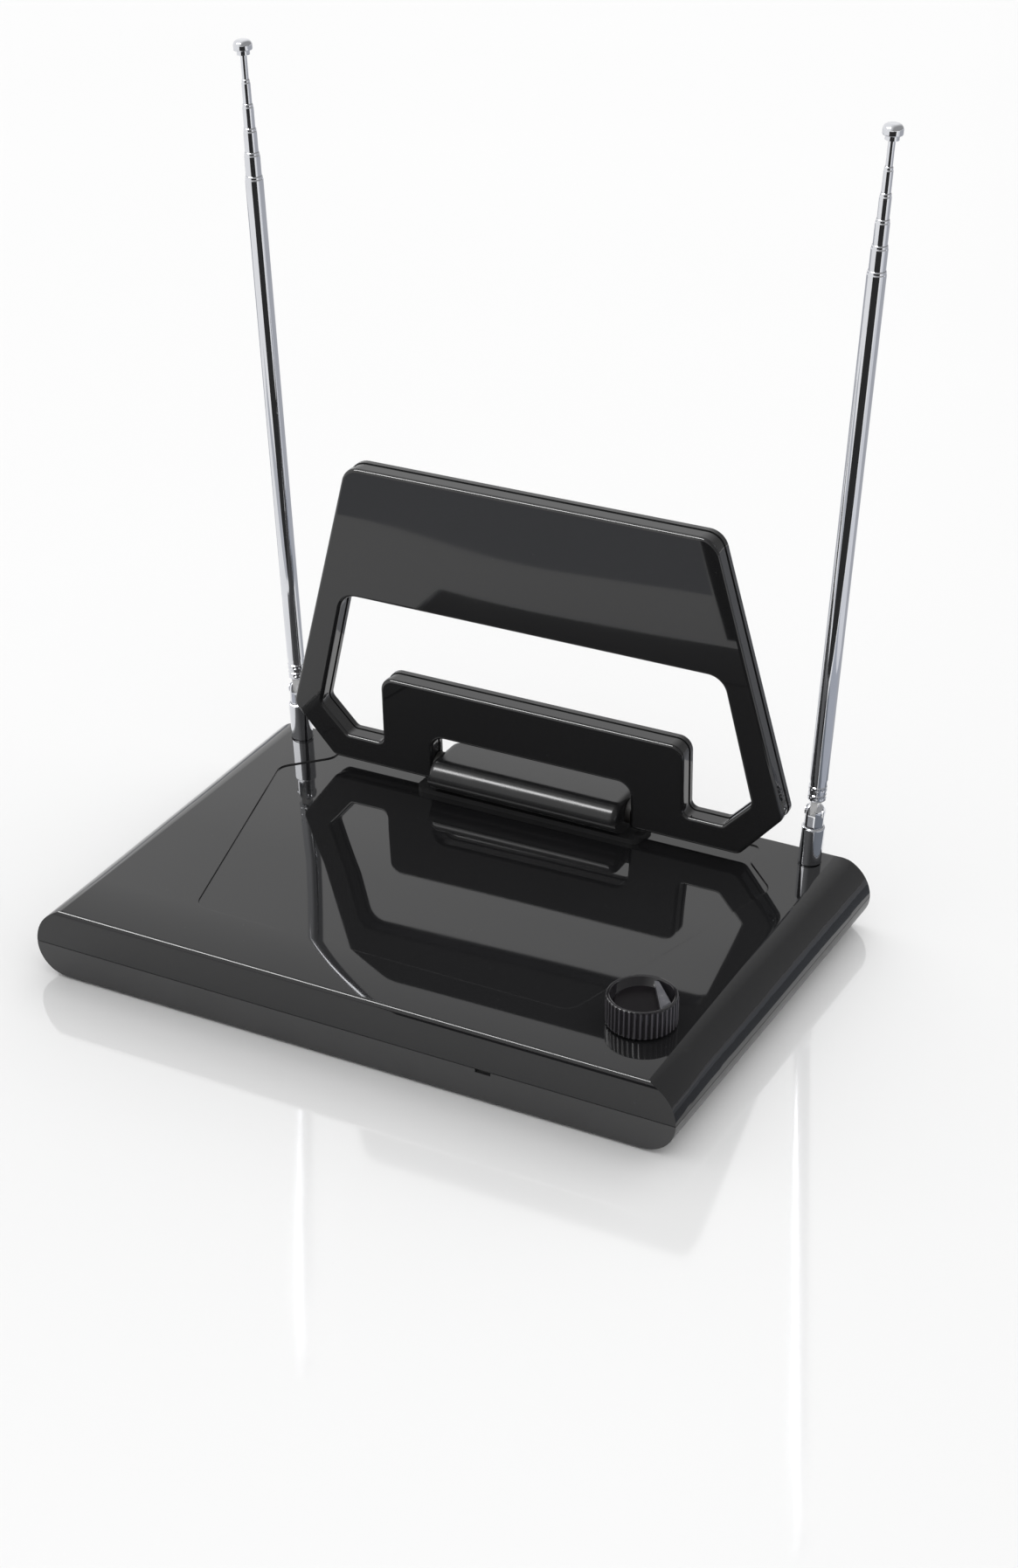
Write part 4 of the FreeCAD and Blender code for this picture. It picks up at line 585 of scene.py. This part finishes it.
knob_low, knob_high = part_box("tuning_knob")
knob_foot = Vector(((knob_low.x + knob_high.x) / 2.0, (knob_low.y + knob_high.y) / 2.0, knob_low.z))
knob_height = knob_high.z - knob_low.z
KNOB_RADIUS = 0.0115
KNOB_RIM = 0.0015
KNOB_EDGE = 0.0005
KNOB_HOLLOW = (0.0085, 0.0030)
SHAFT_BORE = (0.0030, 0.0060)
DISH_DEPTH = 0.0030
DISH_SLOPE = 0.0008
FLUTE_COUNT = 40
FLUTE_DEPTH = 0.00045
FLUTE_STEPS = 8
RIDGE_SHARE = 0.45
knob_tree = knob_black.node_tree
knob_at = knob_tree.nodes.new("ShaderNodeSeparateXYZ")
feed(knob_black, knob_place, knob_at.inputs["Vector"])
off_x = worked(knob_tree, "SUBTRACT", knob_at.outputs["X"], knob_foot.x)
off_y = worked(knob_tree, "SUBTRACT", knob_at.outputs["Y"], knob_foot.y)
squares = worked(knob_tree, "ADD", worked(knob_tree, "MULTIPLY", off_x, off_x),
                 worked(knob_tree, "MULTIPLY", off_y, off_y))
# The flute ridges are painted lighter than the grooves: a painted highlight along each ridge, set by
# distance from the knob's axis.
ridge_highlight = span(knob_black, worked(knob_tree, "SQRT", squares),
                (KNOB_RADIUS - FLUTE_DEPTH * RIDGE_SHARE, KNOB_RADIUS), (0.0, 1.0))
feed(knob_black, blended(knob_black, ridge_highlight, (0.014, 0.013, 0.015), (0.085, 0.080, 0.090)),
     knob_shader.inputs["Base Color"])
hollow_radius, hollow_depth = KNOB_HOLLOW
bore_radius, bore_top = SHAFT_BORE
dish_radius = KNOB_RADIUS - KNOB_RIM
dish_floor = knob_height - DISH_DEPTH
knob_profile = [
    (0.0, 0.0, bore_top), (bore_radius, 0.0, bore_top), (bore_radius, 0.0, hollow_depth),
    (hollow_radius, 0.0, hollow_depth), (hollow_radius, 0.0, 0.0), (KNOB_RADIUS - KNOB_EDGE, 0.0, 0.0),
    (KNOB_RADIUS - KNOB_EDGE * 0.3, 0.7, KNOB_EDGE * 0.3), (KNOB_RADIUS, 1.0, KNOB_EDGE),
    (KNOB_RADIUS, 1.0, KNOB_EDGE * 1.4), (KNOB_RADIUS, 1.0, knob_height - KNOB_EDGE * 2.0),
    (KNOB_RADIUS, 1.0, knob_height - KNOB_EDGE * 1.6),
    (KNOB_RADIUS - KNOB_EDGE * 0.2, 0.5, knob_height - KNOB_EDGE),
    (KNOB_RADIUS - KNOB_EDGE * 0.6, 0.0, knob_height - KNOB_EDGE * 0.3),
    (KNOB_RADIUS - KNOB_EDGE, 0.0, knob_height), (dish_radius + KNOB_EDGE, 0.0, knob_height),
    (dish_radius + KNOB_EDGE * 0.3, 0.0, knob_height - KNOB_EDGE * 0.3),
    (dish_radius, 0.0, knob_height - KNOB_EDGE), (dish_radius - DISH_SLOPE, 0.0, dish_floor + KNOB_EDGE),
    (dish_radius - DISH_SLOPE - KNOB_EDGE, 0.0, dish_floor), (0.0, 0.0, dish_floor),
]
knob_cap = shaped("fluted_knob", knob_profile, spun, Matrix.Translation(knob_foot),
                  segments=FLUTE_COUNT * FLUTE_STEPS, lobes=FLUTE_COUNT, sharpness=1.0, lobe_in=FLUTE_DEPTH,
                  material=knob_black)
fitted(knob_cap, "knob", "knob_black", "tuning_knob")

DISC_SPECULAR = 0.12
disc_black, disc_shader, disc_place = new_finish("knob_disc_black")
disc_shader.inputs["Specular IOR Level"].default_value = DISC_SPECULAR
mottled(disc_black, disc_shader, grain(disc_black, disc_place, 320.0, 3.0),
        ((0.004, 0.003, 0.004), (0.009, 0.007, 0.009)), (0.35, 0.50))
DISC_SEGMENTS = 96
DISC_THICKNESS = 0.0004
disc_radius = dish_radius - DISH_SLOPE - KNOB_EDGE
disc_top = dish_floor + DISC_THICKNESS
disc_profile = plain_ring(
    (0.0, dish_floor), (disc_radius, dish_floor), (disc_radius, disc_top - DISC_THICKNESS * 0.4),
    (disc_radius - DISC_THICKNESS * 0.4, disc_top), (0.0, disc_top),
)
knob_disc = shaped("knob_disc", disc_profile, spun, Matrix.Translation(knob_foot),
                   segments=DISC_SEGMENTS, lobes=0, material=disc_black)
fitted(knob_disc, "knob", "knob_black")

pointer_grey, pointer_shader, pointer_place = new_finish("frosted_pointer_grey")
pointer_shader.inputs["IOR"].default_value = PLASTIC_IOR
mottled(pointer_grey, pointer_shader, grain(pointer_grey, pointer_place, 420.0, 4.0),
        ((0.085, 0.085, 0.095), (0.16, 0.16, 0.175)), (0.16, 0.28))
POINTER_CORNERS = (
    (-0.0002, 0.0096, 0.0003), (0.0084, -0.0044, 0.0005), (0.0100, 0.0002, 0.0005), (0.0016, 0.0096, 0.0003),
)
POINTER_EDGE = 0.0003
POINTER_EDGE_STEPS = 3
POINTER_TAPER = 0.98


def pointer_rib():
    """A tapered upright rib, narrow at its rear end, with its top edges rounded."""
    foot_corners = []
    top_corners = []
    for aside, ahead, below_rim in POINTER_CORNERS:
        foot_corners.append((aside, ahead, dish_floor))
        top_corners.append((aside * POINTER_TAPER, ahead * POINTER_TAPER, knob_height - below_rim))
    rib = skinned([foot_corners, top_corners])
    rib.faces.ensure_lookup_table()
    top_edges = list(rib.faces[-1].edges)
    bmesh.ops.bevel(rib, geom=top_edges, offset=POINTER_EDGE, segments=POINTER_EDGE_STEPS, affect="EDGES")
    return kept("knob_pointer", rib, pointer_grey, Matrix.Translation(knob_foot))


fitted(pointer_rib(), "knob", "knob_black")


# Telescopic rods: drawn brass tubes, chromium plated, each necked in at its mouth to keep the next one in.
# The fork turns in its collar, and the tang at the foot of the outer tube tilts on a rivet in the fork.
MOUTH_NECK = 0.00014
MOUTH_LIP = 0.0008
MOUTH_RUN = 0.0013


def measured(node, foot, axis):
    """Heights along the rod and radii of a modelled piece's corners."""
    rows = []
    for vertex in frame["nodes"][node].data.vertices:
        height = (vertex.co - foot).dot(axis)
        rows.append((height, (vertex.co - foot - axis * height).length))
    return rows


def extent(rows):
    """Lowest height, greatest height and greatest radius of measured corners."""
    heights = [height for height, _ in rows]
    return min(heights), max(heights), max(radius for _, radius in rows)


def tube_profile(rows):
    """Section of one tube: its wall, its necked end and the lip rolled in at its mouth."""
    bottom, top, wall = extent(rows)
    mouth = min(radius for _, radius in rows)
    bore = min(radius for height, radius in rows if height < bottom + MOUTH_LIP)
    neck = wall - MOUTH_NECK
    return plain_ring(
        (bore, bottom), (wall, bottom), (wall, bottom + MOUTH_NECK), (wall, top - MOUTH_RUN - MOUTH_NECK),
        (wall, top - MOUTH_RUN), (neck, top - MOUTH_RUN * 0.8), (neck, top - MOUTH_RUN * 0.7),
        (neck, top - MOUTH_RUN * 0.35), (neck, top - MOUTH_RUN * 0.3),
        (neck - MOUTH_NECK * 0.3, top - MOUTH_RUN * 0.1),
        (neck - MOUTH_NECK, top), (mouth, top), (mouth, top - MOUTH_LIP), (bore, top - MOUTH_LIP),
        (bore, bottom),
    )


COLLAR_GROOVE = 0.00025
COLLAR_EDGE = 0.0006
COLLAR_BORE = 0.0034
COLLAR_FLOOR = 0.0020
STEM_BORE = 0.0021


def collar_profile(rows):
    """Section of a socket: a shadow groove at its foot, a straight wall and a rounded upper edge."""
    bottom, top, wall = extent(rows)
    foot = wall - COLLAR_GROOVE
    return plain_ring(
        (STEM_BORE, bottom), (foot, bottom), (foot, COLLAR_GROOVE * 1.4), (wall, COLLAR_GROOVE * 2.2),
        (wall, COLLAR_GROOVE * 3.0), (wall, top - COLLAR_EDGE * 1.3), (wall, top - COLLAR_EDGE),
        (wall - COLLAR_EDGE * 0.13, top - COLLAR_EDGE * 0.5),
        (wall - COLLAR_EDGE * 0.5, top - COLLAR_EDGE * 0.13), (wall - COLLAR_EDGE, top),
        (COLLAR_BORE, top), (COLLAR_BORE, COLLAR_FLOOR), (STEM_BORE, COLLAR_FLOOR), (STEM_BORE, bottom),
    )


FORK_SLOT = 0.0026
FORK_SLOT_FLOOR = 0.0152
STEM_RADIUS = 0.0020
EAR_STEPS = 8
FORK_SEGMENTS = 48


def joined(piece, *others):
    """Adds other pieces' meshes to a piece and drops them."""
    whole = bmesh.new()
    for part in (piece, *others):
        whole.from_mesh(part.data)
    whole.to_mesh(piece.data)
    whole.free()
    for part in others:
        bpy.data.objects.remove(part)
    return piece


def round_fork(name, rows, pivot_height, finish):
    """Stem and shank turned in one piece, with two ears that are halves of a round-ended bar."""
    stem_end, _, ear = extent(rows)
    sunk = ear / 10.0
    shank_profile = plain_ring(
        (0.0, stem_end), (STEM_RADIUS, stem_end), (STEM_RADIUS, COLLAR_FLOOR), (ear, COLLAR_FLOOR),
        (ear, FORK_SLOT_FLOOR), (0.0, FORK_SLOT_FLOOR),
    )
    shank = shaped(name, shank_profile, spun, segments=FORK_SEGMENTS, lobes=0, material=finish)
    turns = [math.pi / 2.0 * step / EAR_STEPS for step in range(EAR_STEPS)]
    dome = [(ear * math.cos(turn), pivot_height + ear * math.sin(turn)) for turn in turns]
    bar_profile = plain_ring(
        (0.0, FORK_SLOT_FLOOR - sunk), (ear, FORK_SLOT_FLOOR - sunk), (ear, pivot_height - sunk), *dome,
        (0.0, pivot_height + ear),
    )
    ears = []
    for hand in (-1.0, 1.0):
        half = shaped(f"{name}_ear", bar_profile, spun, segments=FORK_SEGMENTS, lobes=0, material=finish)
        cut = bmesh.new()
        cut.from_mesh(half.data)
        bmesh.ops.bisect_plane(
            cut, geom=[*cut.verts, *cut.edges, *cut.faces], plane_co=(hand * FORK_SLOT / 2.0, 0.0, 0.0),
            plane_no=(hand, 0.0, 0.0), clear_inner=True)
        bmesh.ops.holes_fill(cut, edges=[edge for edge in cut.edges if edge.is_boundary])
        bmesh.ops.recalc_face_normals(cut, faces=cut.faces)
        cut.to_mesh(half.data)
        cut.free()
        half.data.set_sharp_from_angle(angle=SHARP_EDGE)
        ears.append(half)
    return joined(shank, *ears)


TONGUE_HALF = (0.0012, 0.0021)
TONGUE_STEPS = 16
TONGUE_NECK = 0.9
FERRULE = (0.0246, 0.0335)
CRIMP_ROWS = (0.0262, 0.0293)
CRIMP_HALF = 0.00045
CRIMP_DEPTH = 0.00035
CRIMP_COUNT = 10
CRIMP_STEPS = 8
CRIMP_SHARPNESS = 2.0
FERRULE_GROOVE = 0.0002


def tongue(name, pivot_height, finish):
    """Flat tongue between the ears, round at its lower end."""
    half_thickness, half_width = TONGUE_HALF
    ferrule_foot, _ = FERRULE
    turns = [math.pi + math.pi * step / TONGUE_STEPS for step in range(TONGUE_STEPS + 1)]
    outline = [(half_width * math.cos(turn), pivot_height + half_width * math.sin(turn)) for turn in turns]
    overlap = ferrule_foot + half_width / 4.0
    outline += [(half_width * TONGUE_NECK, overlap), (-half_width * TONGUE_NECK, overlap)]
    rows = [[(x, *point) for point in outline] for x in (-half_thickness, half_thickness)]
    return kept(name, skinned(rows), finish)


def crimped_tang(name, pivot_height, tube_radius, finish):
    """The tongue and the ferrule that it is part of, with two rows of crimp marks that hold the tube."""
    ferrule_foot, ferrule_top = FERRULE
    groove = tube_radius - FERRULE_GROOVE
    profile = [(0.0, 0.0, ferrule_foot), (tube_radius - CRIMP_DEPTH, 0.0, ferrule_foot),
               (tube_radius, 0.0, ferrule_foot + CRIMP_DEPTH)]
    for row in CRIMP_ROWS:
        profile += [
            (groove, 0.0, row - CRIMP_HALF * 2.4), (tube_radius, 0.0, row - CRIMP_HALF * 1.9),
            (tube_radius, 0.0, row - CRIMP_HALF), (tube_radius, 1.0, row - CRIMP_HALF * 0.4),
            (tube_radius, 1.0, row + CRIMP_HALF * 0.4), (tube_radius, 0.0, row + CRIMP_HALF),
            (tube_radius, 0.0, row + CRIMP_HALF * 1.9), (groove, 0.0, row + CRIMP_HALF * 2.4),
        ]
    profile += [(groove, 0.0, ferrule_top), (0.0, 0.0, ferrule_top)]
    ferrule = shaped(name, profile, spun, segments=CRIMP_COUNT * CRIMP_STEPS, lobes=CRIMP_COUNT,
                     sharpness=CRIMP_SHARPNESS, lobe_in=CRIMP_DEPTH, material=finish)
    return joined(ferrule, tongue(f"{name}_tongue", pivot_height, finish))


COLLAR_SEGMENTS = 56
TUBE_SEGMENTS = 40
TUBES = (1, 2, 3, 4, 5)
BUSHES = (2, 3, 4, 5)
SIDES = ("left", "right")
joints = {joint["name"]: joint for joint in frame["joints"]}
for side in SIDES:
    swivel = joints[f"{side}_swivel"]
    rod_foot = Vector(swivel["pos_m"])
    rod_axis = Vector(swivel["axis"]).normalized()
    if rod_axis.z < 0.0:
        rod_axis.negate()
    rod_chrome, chrome_shader, chrome_place = new_finish(f"{side}_rod_chrome")
    chrome_shader.inputs["Metallic"].default_value = 1.0
    upright = (0.0, -math.atan2(rod_axis.x, rod_axis.z), 0.0)
    drawing_lines = grain(rod_chrome, stretched(rod_chrome, chrome_place, (1.0, 1.0, 0.02), upright), 2400.0)
    plating = grain(rod_chrome, chrome_place, 60.0, 3.0)
    feed(rod_chrome, blended(rod_chrome, plating, (0.66, 0.67, 0.705), (0.75, 0.76, 0.785)),
         chrome_shader.inputs["Base Color"])
    feed(rod_chrome, span(rod_chrome, drawing_lines, GRAIN_SPREAD, (0.02, 0.06)),
         chrome_shader.inputs["Roughness"])
    relief(rod_chrome, chrome_shader, drawing_lines, 0.0000015)
    dress([f"{side}_{piece}" for piece in ("rivet", "tip_rod", "tip_cap")], rod_chrome)
    dress([f"{side}_swivel_nut", *(f"{side}_bush_{section}" for section in BUSHES)], turned_brass)
    pivot_height = (Vector(joints[f"{side}_tilt"]["pos_m"]) - rod_foot).dot(rod_axis)
    on_rod = standing(rod_foot, rod_axis)
    collar_rows = measured(f"{side}_collar", rod_foot, rod_axis)
    collar = shaped(f"{side}_rimmed_collar", collar_profile(collar_rows), spun, on_rod,
                    segments=COLLAR_SEGMENTS, lobes=0, material=rod_chrome)
    fitted(collar, "base", "chrome", f"{side}_collar")
    fork_rows = measured(f"{side}_fork", rod_foot, rod_axis)
    fork = round_fork(f"{side}_round_fork", fork_rows, pivot_height, rod_chrome)
    fork.data.transform(on_rod)
    fitted(fork, f"{side}_knuckle", "chrome", f"{side}_fork")
    _, _, tube_radius = extent(measured(f"{side}_tube_1", rod_foot, rod_axis))
    tang = crimped_tang(f"{side}_crimped_tang", pivot_height, tube_radius, rod_chrome)
    tang.data.transform(on_rod)
    fitted(tang, f"{side}_section_1", "chrome", f"{side}_tang")
    for section in TUBES:
        tube_rows = measured(f"{side}_tube_{section}", rod_foot, rod_axis)
        drawn_tube = shaped(f"{side}_drawn_tube_{section}", tube_profile(tube_rows), spun, on_rod,
                            segments=TUBE_SEGMENTS, lobes=0, material=rod_chrome)
        fitted(drawn_tube, f"{side}_section_{section}", "chrome", f"{side}_tube_{section}")


# Floor: a large, pale sheet that the feet stand on.
# The camera sees it polished, and all other rays meet it matt.
def flat_sheet(name, corners, height):
    """A level sheet of the stage, its corners counted anticlockwise from above."""
    mesh = bpy.data.meshes.new(name)
    mesh.from_pydata([(*corner, height) for corner in corners], [], [range(len(corners))])
    sheet = bpy.data.objects.new(name, mesh)
    bpy.context.scene.collection.objects.link(sheet)
    return sheet


FLOOR_REACH = 6.0
FLOOR_IOR = 2.0
floor_corners = ((-FLOOR_REACH, -FLOOR_REACH), (FLOOR_REACH, -FLOOR_REACH),
                 (FLOOR_REACH, FLOOR_REACH), (-FLOOR_REACH, FLOOR_REACH))
floor = flat_sheet("studio_floor", floor_corners, 0.0)
floor_white, floor_shader, floor_place = new_finish("floor_white")
floor_shader.inputs["IOR"].default_value = FLOOR_IOR
mottled(floor_white, floor_shader, grain(floor_white, floor_place, 3.0),
        ((0.94, 0.94, 0.94), (0.96, 0.96, 0.96)), (0.05, 0.07))
floor.data.materials.append(floor_white)


def by_ray_kind(tree, kind, usual, special):
    """Joins two shaders: the special one answers only rays of one kind."""
    either = tree.nodes.new("ShaderNodeMixShader")
    _, usual_socket, special_socket = either.inputs
    tree.links.new(tree.nodes.new("ShaderNodeLightPath").outputs[kind], either.inputs["Fac"])
    tree.links.new(usual, usual_socket)
    tree.links.new(special, special_socket)
    return either.outputs["Shader"]


floor_tree = floor_white.node_tree
matt_floor = floor_tree.nodes.new("ShaderNodeBsdfDiffuse")
matt_floor.inputs["Color"].default_value = (0.96, 0.96, 0.96, 1.0)
floor_tree.links.new(
    by_ray_kind(floor_tree, "Is Camera Ray", matt_floor.outputs["BSDF"], floor_shader.outputs["BSDF"]),
    floor_tree.nodes["Material Output"].inputs["Surface"])


# Studio: white light all round, stronger from behind, and dimmer to the right in reflections.
# A strip light front left, a long low light on the left and sheets of paper on the floor show only in
# reflections, and the low light only in the rods' feet and the knob.
studio = bpy.data.worlds.new("studio")
studio.use_nodes = True
studio_tree = studio.node_tree
direction = studio_tree.nodes.new("ShaderNodeSeparateXYZ")
every_way = studio_tree.nodes.new("ShaderNodeTexCoord").outputs["Generated"]
studio_tree.links.new(every_way, direction.inputs["Vector"])


def sky(along, between, strengths):
    """Surroundings that fade along one direction."""
    fade = studio_tree.nodes.new("ShaderNodeMapRange")
    for label, number in zip(("From Min", "From Max", "To Min", "To Max"), (*between, *strengths)):
        fade.inputs[label].default_value = number
    studio_tree.links.new(direction.outputs[along], fade.inputs["Value"])
    background = studio_tree.nodes.new("ShaderNodeBackground")
    studio_tree.links.new(fade.outputs["Result"], background.inputs["Strength"])
    background.inputs["Color"].default_value = (1.0, 1.0, 1.0, 1.0)
    return background.outputs["Background"]


soft_sky = sky("Y", (-0.9, 0.9), (0.55, 1.5))
mirrored_sky = sky("X", (-0.30, 0.35), (1.0, 0.35))
studio_tree.links.new(by_ray_kind(studio_tree, "Is Glossy Ray", soft_sky, mirrored_sky),
                      studio_tree.nodes["World Output"].inputs["Surface"])
bpy.context.scene.world = studio


def only_in_gloss(thing):
    """Hides a thing of the stage from all but reflections."""
    thing.visible_camera = False
    thing.visible_diffuse = False
    thing.visible_transmission = False
    thing.visible_shadow = False


CARD_HEIGHT = 0.001
PAPER_VARIATION = 1.1
for name, corners, tone in (
    ("grey_left_front_sheet",
     ((-0.45, -0.15), (-0.45, -0.30), (-0.09, -0.30), (-0.07, -0.23), (-0.02, -0.15)),
     (0.50, 0.51, 0.54)),
    ("dark_front_sheet",
     ((0.0, -0.12), (-0.07, -0.23), (-0.48, -1.9), (1.5, -1.9), (1.78, -1.01), (0.388, -0.12)),
     (0.03, 0.03, 0.03)),
    ("grey_right_sheet", ((0.135, -0.10), (0.18, -0.10), (0.18, 0.16), (0.135, 0.16)), (0.19, 0.205, 0.23)),
    ("mid_right_sheet", ((0.18, -0.10), (0.28, -0.10), (0.28, 0.16), (0.18, 0.16)), (0.42, 0.44, 0.49)),
    ("pale_right_sheet", ((0.28, -0.10), (2.5, -0.10), (2.5, 0.16), (0.28, 0.16)), (0.74, 0.75, 0.78)),
    ("pale_rear_sheet", ((-0.8, 0.16), (2.5, 0.16), (2.5, 2.5), (-0.8, 2.5)), (0.44, 0.45, 0.48)),
):
    sheet = flat_sheet(name, corners, CARD_HEIGHT)
    sheet_paper, sheet_shader, sheet_place = new_finish(f"{name}_paper")
    sheet_shader.inputs["Specular IOR Level"].default_value = 0.0
    mottled(sheet_paper, sheet_shader, grain(sheet_paper, sheet_place, 4.0),
            (tone, tuple(PAPER_VARIATION * part for part in tone)), (0.9, 1.0))
    sheet_tree = sheet_paper.node_tree
    from_below = sheet_tree.nodes.new("ShaderNodeMixShader")
    _, above_socket, below_socket = from_below.inputs
    underside = sheet_tree.nodes.new("ShaderNodeNewGeometry").outputs["Backfacing"]
    see_through = sheet_tree.nodes.new("ShaderNodeBsdfTransparent").outputs["BSDF"]
    feed(sheet_paper, underside, from_below.inputs["Fac"])
    feed(sheet_paper, sheet_shader.outputs["BSDF"], above_socket)
    feed(sheet_paper, see_through, below_socket)
    feed(sheet_paper, from_below.outputs["Shader"], sheet_tree.nodes["Material Output"].inputs["Surface"])
    sheet.data.materials.append(sheet_paper)
    only_in_gloss(sheet)


def gloss_light(name, length, width, radiance, place, along):
    """Flat light turned to the middle of the base, with its length nearest to the given direction."""
    glow = bpy.data.lights.new(name, "AREA")
    glow.shape = "RECTANGLE"
    glow.size = length
    glow.size_y = width
    glow.energy = radiance * math.pi * length * width
    stand = bpy.data.objects.new(name, glow)
    stand.location = place
    outward = Vector(place).normalized()
    level = (Vector(along) - outward * outward.dot(Vector(along))).normalized()
    stand.rotation_euler = Matrix((level, outward.cross(level), outward)).transposed().to_euler()
    bpy.context.scene.collection.objects.link(stand)
    only_in_gloss(stand)
    return stand


gloss_light("strip_light", length=1.10, width=0.34, radiance=16.0,
            place=(-0.60, -0.7125, 1.17), along=(1.0, 0.0, 0.0))
side_light = gloss_light("side_light", length=2.60, width=0.60, radiance=5.0,
                         place=(-1.17, -0.61, 0.71), along=(0.46, -0.89, 0.0))
lit_from_side = bpy.data.collections.new("lit_from_side")
for side in SIDES:
    lit_from_side.objects.link(bpy.data.objects[f"{side}_rimmed_collar"])
    lit_from_side.objects.link(bpy.data.objects[f"{side}_round_fork"])
lit_from_side.objects.link(knob_cap)
side_light.light_linking.receiver_collection = lit_from_side

bpy.context.scene.view_settings.view_transform = "Standard"
bpy.context.scene.view_settings.look = "None"


# Camera: at the photograph's viewing angle, in front of the base, above it and to the right.
# Its lens and turn are fitted to the corners of the base.
lens = bpy.data.cameras.new("camera")
lens.lens = 63.46
lens.sensor_width = 36.0
lens.sensor_fit = "AUTO"
camera = bpy.data.objects.new("camera", lens)
camera.location = (0.38706, -0.70934, 0.49981)
camera.rotation_euler = (math.radians(61.624), 0.0, math.radians(27.313))
bpy.context.scene.collection.objects.link(camera)
bpy.context.scene.camera = camera
